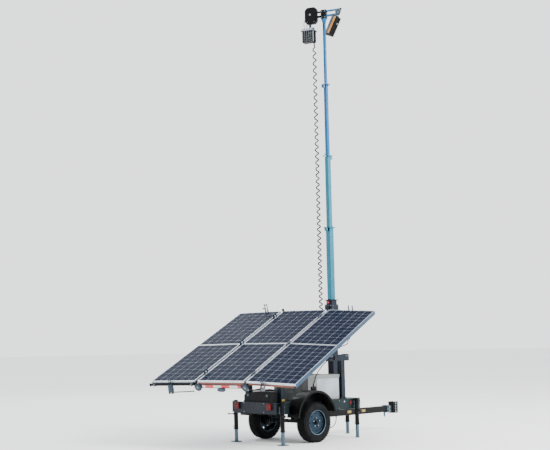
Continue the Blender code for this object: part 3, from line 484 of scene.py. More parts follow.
class Shape:
    """One mesh made of simple solids, each in the look that was chosen last."""

    def __init__(self, look):
        self.bm = bmesh.new()
        self.looks = []
        self.use(look)

    def use(self, look):
        if look not in self.looks:
            self.looks.append(look)
        self.index = self.looks.index(look)
        return self

    def _take(self, fresh, matrix=None):
        """Adds a bmesh's faces to this one."""
        for face in fresh.faces:
            face.material_index = self.index
        if matrix:
            bmesh.ops.transform(fresh, matrix=matrix, verts=fresh.verts)
        bmesh.ops.recalc_face_normals(fresh, faces=fresh.faces)
        spare = bpy.data.meshes.new("spare")
        fresh.to_mesh(spare)
        fresh.free()
        self.bm.from_mesh(spare)
        bpy.data.meshes.remove(spare)
        return self

    def box(self, low, high, bevel=0.0, segments=2, matrix=None):
        low, high = Vector(low), Vector(high)
        size = Vector(abs(v) for v in high - low)
        fresh = bmesh.new()
        place = Matrix.Translation((low + high) / 2) @ Matrix.Diagonal((*size, 1))
        bmesh.ops.create_cube(fresh, size=1, matrix=place)
        bevel = min(bevel, 0.45 * min(size))
        if bevel > 0:
            round_edges(fresh, fresh.edges[:], bevel, segments)
        return self._take(fresh, matrix)

    def rod(self, start, end, radius, sides=20, tip=None, bevel=0.0):
        start, end = Vector(start), Vector(end)
        fresh = bmesh.new()
        tip = radius if tip is None else tip
        bmesh.ops.create_cone(
            fresh, cap_ends=True, segments=sides, radius1=radius, radius2=tip, depth=(end - start).length
        )
        if bevel > 0:
            rims = [e for e in fresh.edges if abs(e.verts[0].co.z - e.verts[1].co.z) < 1e-7]
            round_edges(fresh, rims, bevel)
        return self._take(fresh, Matrix.Translation((start + end) / 2) @ facing(end - start))

    def lathe(self, profile, at, direction, sides=40):
        """A profile of (radius, distance along direction) turned round that direction.

        A profile that starts off the axis is closed into a ring.
        """
        fresh = bmesh.new()
        rings = []
        for radius, along in profile:
            count = 1 if radius < 1e-6 else sides
            rings.append([fresh.verts.new((*around(radius, k / sides), along)) for k in range(count)])
        for first, second in zip(rings, rings[1:] + rings[:1] * (profile[0][0] > 0)):
            for k in range(sides):
                steps = ((first, k), (first, k + 1), (second, k + 1), (second, k))
                corners = [ring[step % len(ring)] for ring, step in steps]
                unique = list(dict.fromkeys(corners))
                if len(unique) > 2:
                    fresh.faces.new(unique)
        return self._take(fresh, Matrix.Translation(at) @ facing(direction))

    def prism(self, outline, low, high, axis="Y", matrix=None):
        """A flat outline made solid. For axis Y the outline is (x, z), for X (y, z), for Z (x, y)."""
        order = {"Y": (0, 2, 1), "X": (2, 0, 1), "Z": (0, 1, 2)}[axis]
        fresh = bmesh.new()
        bottom, top = [
            [fresh.verts.new([(a, b, level)[k] for k in order]) for a, b in outline] for level in (low, high)
        ]
        fresh.faces.new(bottom)
        fresh.faces.new(top[::-1])
        join_rings(fresh, (bottom, top))
        return self._take(fresh, matrix)

    def sweep(self, points, radius, sides=10):
        """A round tube along points, with closed ends."""
        points = [Vector(p) for p in points]
        fresh = bmesh.new()
        neighbours = zip(points[:1] + points[:-1], points[1:] + points[-1:])
        tangents = [(after - before).normalized() for before, after in neighbours]
        side = tangents[0].orthogonal().normalized()
        rings = []
        for point, tangent in zip(points, tangents):
            side = (side - tangent * side.dot(tangent)).normalized()
            other = tangent.cross(side)
            offsets = [around(radius, k / sides) for k in range(sides)]
            rings.append([fresh.verts.new(point + side * a + other * b) for a, b in offsets])
        join_rings(fresh, rings)
        fresh.faces.new(rings[0])
        fresh.faces.new(rings[-1])
        return self._take(fresh)

    def bolt(self, at, direction, radius=0.008, head=0.006, washer=True):
        """A hexagon head on a washer."""
        at, way = Vector(at), Vector(direction).normalized()
        if washer:
            self.rod(at - way * 0.001, at + way * WASHER, radius * 1.55, 20)
        return self.rod(at, at + way * (WASHER + head), radius, 6, bevel=radius * 0.08)

    def bolts(self, places, direction, radius=0.008, head=0.006):
        for at in places:
            self.bolt(at, direction, radius, head)
        return self

    def screws(self, places, direction, radius, head):
        for at in places:
            self.bolt(at, direction, radius, head, washer=False)
        return self

    def frame(self, size, inset, low, high):
        """A rectangular ring with mitred corners, from the rectangle (0, 0)-size inwards by inset."""
        fresh = bmesh.new()
        rings = []
        for edge, z in ((0, low), (0, high), (inset, high), (inset, low)):
            right, top = size[0] - edge, size[1] - edge
            ring = [(edge, edge), (right, edge), (right, top), (edge, top)]
            rings.append([fresh.verts.new((*corner, z)) for corner in ring])
        join_rings(fresh, rings + rings[:1])
        return self._take(fresh)

    def done(self, name, body, slot, matrix=None, replaces=(), smooth=35, bevel=0.0):
        mesh = bpy.data.meshes.new(name)
        self.bm.to_mesh(mesh)
        self.bm.free()
        for look in self.looks:
            mesh.materials.append(M[look])
        obj = add(name, mesh)
        obj.matrix_world = BASE @ matrix if matrix else BASE
        if bevel:
            soften(obj, bevel)
        if smooth:
            mesh.shade_smooth()
            mesh.set_sharp_from_angle(angle=math.radians(smooth))
        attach(obj, body)
        if replaces:
            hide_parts(*replaces)
        return obj


def smooth_path(points, step):
    """Points about a step apart along a smooth curve through the given ones."""
    points = np.array(points, float)
    padded = np.vstack([2 * points[0] - points[1], points, 2 * points[-1] - points[-2]])
    dense = []
    for a, b, c, d in zip(padded, padded[1:], padded[2:], padded[3:]):
        square, cube = 2 * a - 5 * b + 4 * c - d, 3 * b - a - 3 * c + d
        for t in np.linspace(0, 1, 40, endpoint=False):
            dense.append(0.5 * (2 * b + (c - a) * t + square * t**2 + cube * t**3))
    dense.append(points[-1])
    dense = np.array(dense)
    run = np.concatenate([[0], np.cumsum(np.linalg.norm(np.diff(dense, axis=0), axis=1))])
    stops = np.linspace(0, run[-1], max(2, round(run[-1] / step)) + 1)
    return np.column_stack([np.interp(stops, run, dense[:, k]) for k in range(3)])


def soften(obj, width):
    """Rounds an object's sharp edges by a modifier."""
    weld = obj.modifiers.new("weld", "WELD")
    weld.merge_threshold = 0.00002
    edge = obj.modifiers.new("edges", "BEVEL")
    edge.width, edge.segments, edge.limit_method, edge.angle_limit = width, 2, "ANGLE", math.radians(40)


# ------------------------------ cords

CURLY_LOW, CURLY_HIGH = 2.13, 7.85
CURLY_RADIUS, CURLY_WIRE, CURLY_TURNS = 0.0435, 0.025, 46
CURLY_STEPS = 16  # points in a turn
CURLY_TAIL = 0.045  # straight wire at each end
CURLY_SETTLE = 0.75  # turns in which the helix reaches its full radius
CURLY_SAG = 0.18  # how much closer the turns are towards the bottom
CABLE, LAMP_LEAD = 0.008, 0.006  # radii of the plain leads

LEAD_ROUTE = (
    (0.21, -0.458, 1.0105), (0.21, -0.46, 1.04), (0.222, -0.478, 1.11), (0.255, -0.486, 1.2),
    (0.33, -0.488, 1.3), (0.46, -0.49, 1.41), (0.6, -0.489, 1.49), (0.7, -0.4875, 1.522),
    (0.75, -0.4875, 1.525), (0.779, -0.4875, 1.525),
)
LOOP_ROUTE = (
    (1.29, -0.03, 0.369), (1.29, -0.031, 0.34), (1.255, -0.045, 0.26), (1.15, -0.07, 0.19),
    (1.0, -0.09, 0.157), (0.85, -0.105, 0.15), (0.6, -0.125, 0.18), (0.35, -0.14, 0.255),
    (0.18, -0.15, 0.325), (0.08, -0.15, 0.357), (0.05, -0.15, 0.36), (0.0335, -0.15, 0.36),
)
WING_LOOP = (
    (0.51, -1.491, 0.061), (0.48, -1.4925, 0.0605), (0.43, -1.506, 0.057), (0.365, -1.532, 0.049),
    (0.3, -1.543, 0.045), (0.235, -1.532, 0.049), (0.17, -1.506, 0.057), (0.12, -1.4925, 0.0605),
    (0.09, -1.491, 0.061),
)
LAMP_LEADS = {
    "lamp_lead_far": (
        (0, 0.375, 8.1495), (0, 0.3757, 8.172), (0.01, 0.388, 8.212), (0.028, 0.392, 8.252),
        (0.042, 0.372, 8.3), (0.046, 0.33, 8.345), (0.044, 0.29, 8.366), (0.038, 0.262, 8.3745),
        (0.029, 0.248, 8.375),
    ),
    "lamp_lead_near": (
        (0, 0.43, 8.1495), (0, 0.4305, 8.175), (0.004, 0.442, 8.222), (0.01, 0.446, 8.28),
        (0.016, 0.434, 8.34), (0.02, 0.4, 8.395), (0.019, 0.352, 8.43), (0.0185, 0.306, 8.445),
        (0.0182, 0.27, 8.452), (0.0181, 0.25, 8.4545),
    ),
}


def in_packed_frame(points, matrix=None):
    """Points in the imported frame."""
    place = BASE @ matrix if matrix else BASE
    return [list(place @ Vector(p)) for p in points]


def curly_cord(centre):
    """The lamp cord: a long helix whose turns are closer at the bottom, under the weight of those above."""
    low, high = CURLY_LOW + 0.0008, CURLY_HIGH - 0.0003  # just clear of what the cord plugs into
    points = []
    for k in range(CURLY_TURNS * CURLY_STEPS + 1):
        turns = k / CURLY_STEPS
        share = turns / CURLY_TURNS
        rise = share * (1 - CURLY_SAG) + share * share * CURLY_SAG
        nearest_end = min(turns, CURLY_TURNS - turns)
        x, y = around((CURLY_RADIUS - CURLY_WIRE / 2) * min(1.0, nearest_end / CURLY_SETTLE), turns)
        points.append((centre.x + x, centre.y + y, low + CURLY_TAIL + (high - low - 2 * CURLY_TAIL) * rise))
    start = [(*centre.xy, high - CURLY_TAIL * share) for share in (0.0, 0.35, 0.7)]
    end = [(*centre.xy, low + CURLY_TAIL * share) for share in (0.7, 0.35, 0.0)]
    path = start + points[::-1] + end
    shape = Shape("cord").sweep(path, CURLY_WIRE / 2, 8)
    cord = shape.done("curly_cord_wire", "trailer", "black_plastic", replaces=["curly_cord"], smooth=60)
    path = in_packed_frame(path)
    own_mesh(cord)


def free_cord(name, route, radius, body, replaces=(), matrix=None):
    path = smooth_path(route, 0.02)
    shape = Shape("cord").sweep(path, radius, 12)
    cord = shape.done(name, body, "black_plastic", matrix, replaces, smooth=60)
    path = in_packed_frame(path, matrix)


def boot(shape, route, length=0.032, radius=CABLE):
    """A hexagon nut and a tapered strain relief over the first stretch of a lead."""
    start = Vector(route[0])
    reach = (Vector(route[1]) - start).normalized() * length
    shape.rod(start, start + reach * 0.3, radius + 0.006, 6, bevel=0.0008)
    shape.rod(start + reach * 0.3, start + reach, radius + 0.005, 16, radius + 0.0012)


def trailer_cords():
    centre = HEAD @ Vector((0, COIL_Y, 0))
    curly_cord(centre)
    free_cord("solar_lead_cable", LEAD_ROUTE, CABLE, "trailer", ["solar_lead"])
    free_cord("brake_wiring_cable", LOOP_ROUTE, CABLE, "trailer", ["brake_wiring"])
    boots = Shape("plastic")
    for route in (LEAD_ROUTE, LEAD_ROUTE[::-1], LOOP_ROUTE, LOOP_ROUTE[::-1]):
        boot(boots, route)
    low, high = (*centre.xy, CURLY_LOW), (*centre.xy, CURLY_HIGH)
    boot(boots, (low, high), 0.04, CURLY_WIRE / 2)
    boots.done("lead_boots", "trailer", "black_plastic")
    top = Shape("plastic")
    boot(top, (high, low), 0.007, CURLY_WIRE / 2)
    top.done("curly_cord_boot", "mast_5", "black_plastic")


def wing_cord():
    free_cord("wing_lead_loop", WING_LOOP, CABLE, "wing_near", matrix=wing_frame("near"))
    clips = Shape("plastic")
    for route in (WING_LOOP, WING_LOOP[::-1]):
        s = route[0][0]
        clips.use("plastic").box((s - 0.016, -1.504, 0.05), (s + 0.016, -1.478, 0.0745), 0.002)
        boot(clips, route, 0.03)
        clips.use("bolt").bolt((s, -1.4775, 0.067), PLUS_Y, 0.004, 0.003, washer=False)
    clips.done("wing_lead_clips", "wing_near", "black_plastic", wing_frame("near"))


def lamp_cords():
    boots = Shape("plastic")
    for name, route in LAMP_LEADS.items():
        free_cord(name, route, LAMP_LEAD, "mast_5", matrix=HEAD)
        boot(boots, route, 0.02, LAMP_LEAD)
        boot(boots, route[::-1], 0.016, LAMP_LEAD)
    boots.done("lamp_lead_boots", "mast_5", "black_plastic", HEAD)


# ------------------------------ solar array

CELL_ROWS, CELL_COLUMNS, CELL_GAP, CELL_CORNER = 10, 6, 0.0056, 0.007
CELL_MARGIN_S, CELL_MARGIN_W = 0.017, 0.0145
BUSBARS = (-0.052, 0.0, 0.052)
LIP, RIM_WALL, RIM_FLANGE, LIP_DEPTH = 0.0095, 0.0022, 0.024, 0.0045
GLASS_Z = -0.0036
EDGE = PANEL_L + ROW_GAP / 2  # the array's lower and upper edges
FOOT = EDGE + 0.0017  # where brackets stand off those edges
RIM_TOP = PANEL_TOP + 0.0004  # just above the modules' rims


def octagon(x, y, half_x, half_y, corner):
    a, b = half_x - corner, half_y - corner
    right = ((a, -half_y), (half_x, -b), (half_x, b), (a, half_y))
    return [(x + dx, y + dy) for dx, dy in right] + [(x - dx, y - dy) for dx, dy in right]


def rim_and_sheet(shape):
    size = (PANEL_L, PANEL_W)
    shape.frame(size, LIP, -LIP_DEPTH, 0.0)
    shape.frame(size, RIM_WALL, -PANEL_T, -LIP_DEPTH)
    shape.frame(size, RIM_FLANGE, -PANEL_T, -PANEL_T + 0.0018)
    shape.use("underside").box((0.002, 0.002, -0.0056), (PANEL_L - 0.002, PANEL_W - 0.002, -0.0046))
    shape.use("backsheet").box((0.003, 0.003, -0.0046), (PANEL_L - 0.003, PANEL_W - 0.003, GLASS_Z))


def cells_and_busbars(shape):
    pitch_s = (PANEL_L - 2 * CELL_MARGIN_S) / CELL_ROWS
    pitch_w = (PANEL_W - 2 * CELL_MARGIN_W) / CELL_COLUMNS
    for j in range(CELL_COLUMNS):
        y = CELL_MARGIN_W + (j + 0.5) * pitch_w
        shape.use("cell")
        for i in range(CELL_ROWS):
            x = CELL_MARGIN_S + (i + 0.5) * pitch_s
            outline = octagon(x, y, (pitch_s - CELL_GAP) / 2, (pitch_w - CELL_GAP) / 2, CELL_CORNER)
            shape.prism(outline, GLASS_Z - 0.0004, GLASS_Z + 0.0005, "Z")
        shape.use("busbar")
        for shift in BUSBARS:
            low = (CELL_MARGIN_S, y + shift - 0.0007, GLASS_Z)
            shape.box(low, (PANEL_L - CELL_MARGIN_S, y + shift + 0.0007, GLASS_Z + 0.0007))


def module(label, row, matrix, s_low, w_low, body):
    """A framed 60-cell module: extruded rim, backsheet, cells with their busbars, junction box beneath."""
    shape = Shape("alloy")
    rim_and_sheet(shape)
    cells_and_busbars(shape)
    middle, box_start = PANEL_W / 2, PANEL_L - 0.2
    low, high = (box_start, middle - 0.055, -0.028), (PANEL_L - 0.1, middle + 0.055, -0.0054)
    shape.use("plastic").box(low, high, 0.004)
    for y in (middle - 0.03, middle + 0.03):
        shape.rod((box_start, y, -0.017), (box_start - 0.025, y, -0.017), 0.0075, 12, 0.005)
    place = matrix @ move(s_low, w_low, PANEL_TOP)
    shape.done(f"module_{label}_{row}", body, "panel_cells", place, [f"panel_{label}_{row}"], smooth=0)


def column(label):
    """Where a column of modules starts across the array, its frame and its body."""
    if label == "centre":
        return -PANEL_W / 2, ARRAY, "array"
    side = side_of(label)
    inner = side * (PANEL_W / 2 + WING_GAP[label])
    return min(inner, inner + side * PANEL_W), wing_frame(label), "wing_" + label


def clamps_across(clamps, w):
    """One clamp between the rows and one at each edge, at a place across the column."""
    low, high = w - 0.02, w + 0.02
    clamps.use("alloy").box((-0.006, low, 0.116), (0.006, high, PANEL_TOP + 0.001))
    clamps.box((-0.015, low, RIM_TOP), (0.015, high, PANEL_TOP + 0.0032), 0.001)
    clamps.use("bolt").bolt((0, w, PANEL_TOP + 0.0034), UP, 0.0055, 0.004)
    for end in (-1, 1):
        outer = end * (EDGE + 0.009)
        clamps.use("alloy").box((end * (EDGE + 0.0006), low, 0.118), (outer, high, 0.152), 0.001)
        clamps.box((end * (EDGE - 0.008), low, RIM_TOP), (outer, high, 0.1532), 0.001)
        clamps.use("bolt").bolt((end * (EDGE + 0.0095), w, 0.136), (end, 0, 0), 0.0055, 0.004)


def modules_and_clamps():
    for label in ("centre", "near", "far"):
        w_low, matrix, body = column(label)
        module(label, "lower", matrix, -ROW_GAP / 2 - PANEL_L, w_low, body)
        module(label, "upper", matrix, ROW_GAP / 2, w_low, body)
        clamps = Shape("alloy")
        for share in (0.24, 0.76):
            clamps_across(clamps, w_low + share * PANEL_W)
        tube = 0.05 if label == "centre" else 0.04
        clamps.use("plastic")
        for w in (w_low, w_low + PANEL_W - tube):
            for end in (1,) if label == "centre" else (-1, 1):
                low = (end * (EDGE + 0.0003), w + 0.004, 0.119 - tube)
                clamps.box(low, (end * (EDGE + 0.004), w + tube - 0.004, 0.1107), 0.001)
        clamps.done("clamps_" + label, body, "array_metal", matrix)


def stay(label, w, low):
    """The folding stay at a wing's lower edge: two cheek plates, a pivot, a flap and its rod."""
    side = side_of(label)
    shape = Shape("slate")
    cheek = (
        (-1.6235, 0.112), (-1.6235, low - 0.01), (-1.655, low - 0.072), (-1.69, low - 0.084),
        (-1.716, low - 0.062), (-1.712, low - 0.01), (-1.69, 0.085), (-1.655, 0.118),
    )
    hub_s, hub_n = -1.686, low - 0.045
    for way in (-1, 1):
        y = w + way * 0.032
        face = y + way * 0.003
        shape.use("slate").prism(cheek, y - 0.003, y + 0.003)
        shape.use("bolt").bolt((hub_s, face, hub_n), (0, way, 0), 0.014, 0.009)
        shape.bolt((-1.65, face, 0.08), (0, way, 0), 0.009, 0.006)
    shape.use("bolt").rod((hub_s, w - 0.03, hub_n), (hub_s, w + 0.03, hub_n), 0.012, 16)
    shape.use("coral" if label == "near" else "slate")
    shape.box((-1.7035, w - 0.024, hub_n + 0.016), (-1.6975, w + 0.024, 0.1), 0.002)
    flap = ((-1.632, 0.118), (-1.641, 0.118), (-1.668, 0.214), (-1.656, 0.218))
    shape.use("slate")
    for y, half in ((w - side * 0.024, 0.008), (w + side * 0.02, 0.006)):
        shape.prism(flap, y - half, y + half)
    rod_w, rod_n = side * 0.592, low / 2 - 0.03
    shape.use("black").rod((hub_s, w - side * 0.02, hub_n), (-1.68, rod_w, rod_n), 0.009, 14)
    shape.use("bolt").rod((-1.689, rod_w, rod_n), (-1.671, rod_w, rod_n), 0.015, 16, bevel=0.001)
    shape.done("stay_" + label, "wing_" + label, "array_metal", wing_frame(label), bevel=0.0012)


EDGE_RING = ((0.06, 0.0), (0.074, 0.001), (0.076, 0.006), (0.074, 0.016), (0.06, 0.017))
EDGE_DISC = ((0, 0.0), (0.036, 0.0), (0.036, 0.003), (0.03, 0.006), (0, 0.006))
END_CAP = ((0, 0), (0.015, 0), (0.0165, 0.003), (0.0165, 0.012), (0.012, 0.016), (0, 0.017))
TUBE_CAP = ((0, 0), (0.027, 0), (0.029, 0.004), (0.029, 0.02), (0.024, 0.026), (0, 0.028))


def centre_edges():
    """The centre column's lower edge, its side strip of painted shade and sky reflection, the hinges' bolts
    and the box beneath.
    """
    shape = Shape("coral")
    shape.box((-1.6238, -0.484, 0.078), (-1.6209, 0.484, 0.114), 0.0008)
    shape.use("tape").box((-1.6322, -0.405, 0.02), (-1.6308, 0.405, 0.066), 0.0004)
    shape.use("slate").box((-1.672, -0.078, -0.03), (-1.631, 0.078, 0.012), 0.007)
    shape.use("red").box((-1.668, -0.055, -0.042), (-1.642, 0.055, -0.029), 0.004)
    ring_n = 0.0297
    for w in (-0.5, 0.5):
        shape.use("plastic").lathe(EDGE_RING, (-1.6258, w, ring_n), MINUS_X, 40)
        shape.use("slate").lathe(EDGE_DISC, (-1.6425, w, ring_n), MINUS_X)
        shape.use("bolt").bolt((-1.6485, w, ring_n), MINUS_X, 0.015, 0.011)
        circle = [around(0.049, k / 6) for k in range(6)]
        places = [(-1.6427, w + y, ring_n + z) for y, z in circle]
        shape.screws(places, MINUS_X, 0.005, 0.004)
    for label in WING_GAP:
        for s in HINGE_STATIONS:
            for way in (-1, 1):
                shape.bolt((s + way * 0.0603, *hinge_line(label)), (way, 0, 0), 0.009, 0.007)
    # painted shade and sky reflection along the centre column's side
    shape.use("painted_shade_strip").box((-1.62, 0.4853, 0.08), (1.62, 0.487, 0.149), 0.0005)
    shape.use("plastic").box((1.6215, 0.49, 0.1), (1.662, 0.522, 0.188), 0.006)
    shape.box((0.3, -0.13, 0.022), (0.52, 0.13, 0.064), 0.005)
    shape.done("array_fittings", "array", "array_metal", ARRAY)


def near_edges():
    """The near wing's coral strip, its blue strip of painted shade and sky reflection, its handrail and its
    locking lever.
    """
    shape = Shape("coral")
    shape.box((-1.6238, -1.512, 0.078), (-1.6209, -0.548, 0.1135), 0.0008)
    # painted shade and sky reflection along the near wing's outer edge
    shape.use("painted_shade_strip").box((-1.62, -1.5178, 0.078), (1.622, -1.5153, 0.149), 0.0006)
    rail_s, rail_n = 1.633, 0.128
    shape.use("black").rod((rail_s, -1.5, rail_n), (rail_s, -0.56, rail_n), 0.0105, 18)
    shape.use("plastic").lathe(END_CAP, (rail_s, -1.492, rail_n), MINUS_Y)
    shape.lathe(END_CAP, (rail_s, -0.568, rail_n), PLUS_Y)
    plate = ((FOOT, 0.06), (FOOT, 0.16), (1.636, 0.238), (1.668, 0.238), (1.668, 0.06))
    lever_w = -1.0
    for way in (-1, 1):
        w = lever_w + way * 0.04
        shape.use("slate").prism(plate, w - 0.003, w + 0.003)
        shape.use("bolt").bolt((1.652, w + way * 0.003, 0.205), (0, way, 0), 0.01, 0.007)
    shape.use("slate").box((FOOT, lever_w - 0.04, 0.06), (FOOT + 0.004, lever_w + 0.04, 0.115))
    shape.done("near_wing_edges", "wing_near", "array_metal", wing_frame("near"))


def far_edges():
    """The far wing's round tube in its saddles, and its locking lever."""
    shape = Shape("black")
    tube_s, tube_n = -1.645, 0.088
    shape.rod((tube_s, 0.565, tube_n), (tube_s, 1.545, tube_n), 0.0215, 24)
    shape.use("plastic").lathe(TUBE_CAP, (tube_s, 1.535, tube_n), PLUS_Y)
    for w in (0.62, 1.45):
        shape.use("zinc").box((-1.6705, w - 0.018, 0.062), (-1.6212, w + 0.018, 0.113), 0.006)
        shape.use("bolt").bolt((-1.671, w, tube_n), MINUS_X, 0.008, 0.006)
    lever = (
        (FOOT, 0.06), (FOOT, 0.15), (1.65, 0.212), (1.65, 0.3), (1.674, 0.3), (1.672, 0.15), (1.654, 0.06),
    )
    lever_w = 0.9
    shape.use("slate")
    for w in (lever_w - 0.026, lever_w + 0.026):
        shape.prism(lever, w - 0.003, w + 0.003)
    shape.box((FOOT, lever_w - 0.026, 0.06), (FOOT + 0.004, lever_w + 0.026, 0.115))
    shape.use("bolt").rod((1.662, lever_w - 0.034, 0.283), (1.662, lever_w + 0.034, 0.283), 0.009, 16)
    grip_s, grip_n = 1.664, 0.205
    start, end = (grip_s, lever_w + 0.02, grip_n), (grip_s, lever_w + 0.085, grip_n)
    shape.use("plastic").rod(start, end, 0.011, 16, bevel=0.002)
    shape.done("far_wing_edges", "wing_far", "array_metal", wing_frame("far"))


# ------------------------------ stand and turntable

DECK_TOP = 0.7455
STAND_SIDE, CRADLE_Y = 0.4752, 0.425
LOCK_KNOB = ((0, 0), (0.016, 0.001), (0.02, 0.01), (0.016, 0.02), (0, 0.023))


def grid(xs, ys, z):
    return [(x, y, z) for x in xs for y in ys]


def bolt_circle(radius, count, z):
    """Places round a vertical axis, none of them on the axes."""
    return [(*around(radius, (k + 0.5) / count), z) for k in range(count)]


def stand_details():
    shape = Shape("bolt")
    centre_x = PIVOT.x
    shape.bolts([(centre_x + x, y, z) for x, y, z in bolt_circle(0.128, 12, 1.3332)], UP, 0.0075)
    seal = [(0.1052, 0.0), (0.1085, 0.0), (0.1085, 0.006), (0.1052, 0.006)]
    shape.use("plastic").lathe(seal, (centre_x, 0, 1.3715), UP, 56)
    foot_top = DECK_TOP + 0.011
    for x in (-0.62, 1.03):
        for y in (-CRADLE_Y, CRADLE_Y):
            shape.use("navy").box((x - 0.078, y - 0.062, DECK_TOP), (x + 0.078, y + 0.062, foot_top), 0.002)
            corners = grid((x - 0.064, x + 0.064), (y - 0.045, y + 0.045), foot_top + 0.0002)
            shape.use("bolt").bolts(corners, UP, 0.0075)
    for side in (-1, 1):
        y = side * STAND_SIDE
        shape.use("bolt").bolts([(x, y, 1.555) for x in (0.69, 0.74, 1.13, 1.18)], (0, side, 0), 0.0085)
        shape.bolts([(-0.62, y, z) for z in (1.12, 1.18)], (0, side, 0), 0.0085)
        for x in (0.7, 1.1):
            low = (x, side * CRADLE_Y - 0.04, 1.5853)
            shape.use("plastic").box(low, (x + 0.09, side * CRADLE_Y + 0.04, 1.594), 0.003)
    lead_box = [(x, -0.5002, z) for x in (0.785, 0.855) for z in (1.497, 1.553)]
    shape.use("bolt").screws(lead_box, MINUS_Y, 0.0035, 0.0025)
    shape.use("yellow").box((-0.658, -0.476, 0.775), (-0.582, -0.4753, 0.812), 0.0003)
    pin_x, pin_z = centre_x - 0.16, 1.326
    shape.use("zinc").rod((pin_x, -0.185, pin_z), (pin_x, -0.235, pin_z), 0.01, 16, bevel=0.001)
    shape.use("plastic").lathe(LOCK_KNOB, (pin_x, -0.232, pin_z), MINUS_Y)
    shape.done("stand_fittings", "trailer", "frame_navy")


def turret_details():
    turret = Shape("bolt")
    turret.bolts(bolt_circle(0.094, 8, 1.4202), UP, 0.0075)
    for side in (-1, 1):
        turret.use("bolt").bolt((0, side * 0.1042, PIVOT.z), (0, side, 0), 0.021, 0.014)
        turret.use("slate").box((-0.03, side * 0.0985, 1.598), (0.03, side * 0.1015, 1.64), 0.001)
    turret.done("turret_fittings", "turntable", "frame_navy", move(PIVOT.x, PIVOT.y) @ turn(SLEW, "Z"))


# ------------------------------ cabinet and controller

CABINET_REAR, CABINET_NEAR, CABINET_FRONT, LID_TOP = 0.0698, -0.4503, 0.9303, 1.2102
GRIP_Z = 0.84
SOCKET_CAP = ((0, 0), (0.022, 0), (0.024, 0.004), (0.024, 0.012), (0.02, 0.016), (0, 0.017))


def louvres(shape):
    shape.use("cabinet")
    for z in np.arange(0.88, 1.04, 0.026):
        slat = [(CABINET_REAR, z), (CABINET_REAR - 0.0098, z), (CABINET_REAR, z + 0.02)]
        for y in (-0.3, -0.09, 0.12):
            shape.prism(slat, y, y + 0.18)
        slat = [(0.4502, z), (0.46, z), (0.4502, z + 0.02)]
        for x in (0.2, 0.56):
            shape.prism(slat, x, x + 0.26, "X")


def latches_and_hinges(shape):
    for y in (-0.3, 0.3):
        shape.use("zinc").box((0.057, y - 0.026, 1.085), (CABINET_REAR, y + 0.026, 1.146), 0.003)
        shape.use("plastic").box((0.05, y - 0.015, 1.098), (0.057, y + 0.015, 1.134), 0.003)
    leaf = CABINET_FRONT + 0.0042
    for y in (-0.28, 0.28):
        shape.use("zinc").box((CABINET_FRONT, y - 0.085, 1.12), (leaf, y + 0.085, 1.184), 0.001)
        row = [(leaf + 0.0002, y + dy, 1.142) for dy in (-0.06, 0, 0.06)]
        shape.use("bolt").bolts(row, PLUS_X, 0.006, 0.004)
        shape.use("zinc")
        for knuckle in (y - 0.085, y + 0.064):
            shape.box((leaf, knuckle, 1.16), (0.953, knuckle + 0.021, 1.1845), 0.001)
            shape.box((0.94, knuckle, 1.18), (0.9535, knuckle + 0.021, 1.2035), 0.003)


def sockets_and_grip(shape):
    shape.use("plastic").box((0.144, -0.472, 0.894), (0.276, -0.4502, 1.0098), 0.006)
    for x in (0.18, 0.24):
        shape.lathe(SOCKET_CAP, (x, -0.4718, 0.95), MINUS_Y)
    screws = [(x, -0.4722, z) for x in (0.155, 0.265) for z in (0.905, 0.998)]
    shape.use("bolt").screws(screws, MINUS_Y, 0.004, 0.003)
    grip = ((0.37, 0.452), (0.37, 0.478), (0.45, 0.482), (0.53, 0.478), (0.53, 0.452))
    shape.use("plastic").sweep(smooth_path([(x, y, GRIP_Z) for x, y in grip], 0.008), 0.008, 12)


def cabinet_details():
    # The near face's plate, in a lighter grey that is painted light: the near side lit, the rear in shade.
    shape = Shape("cabinet_panel_painted_light")
    shape.box((0.31, CABINET_NEAR - 0.005, 0.765), (0.915, CABINET_NEAR, 1.148), 0.0025)
    screws = [(x, CABINET_NEAR - 0.0052, z) for x in (0.33, 0.612, 0.895) for z in (0.785, 1.128)]
    shape.use("bolt").bolts(screws, MINUS_Y, 0.0065, 0.004)
    louvres(shape)
    latches_and_hinges(shape)
    sockets_and_grip(shape)
    shape.done("cabinet_fittings", "trailer", "cabinet_grey")

    lid = Shape("zinc")
    for y in (-0.3, 0.3):
        lid.use("zinc").box((0.0515, y - 0.018, 1.157), (0.0597, y + 0.018, 1.196), 0.003)
    for y in (-0.22, 0.0, 0.22):
        lid.use("cabinet").box((0.11, y - 0.012, LID_TOP), (0.88, y + 0.012, LID_TOP + 0.0053), 0.005)
    for y in (-0.28, 0.28):
        lid.use("zinc").box((0.88, y - 0.06, LID_TOP), (0.9355, y + 0.06, LID_TOP + 0.0028), 0.001)
        lid.use("bolt").bolts(grid((0.9,), (y - 0.042, y + 0.042), LID_TOP + 0.0029), UP, 0.006, 0.004)
    lid.done("lid_fittings", "lid", "cabinet_grey")


CASE_ARCH = ((-0.4, 0.945, 0), (-0.34, 0.9635, 0), (-0.18, 0.9625, 0), (0.05, 0.945, 0), (0.27, 0.905, 0))
CASE_FRONT, CASE_REAR = -0.716, -0.862


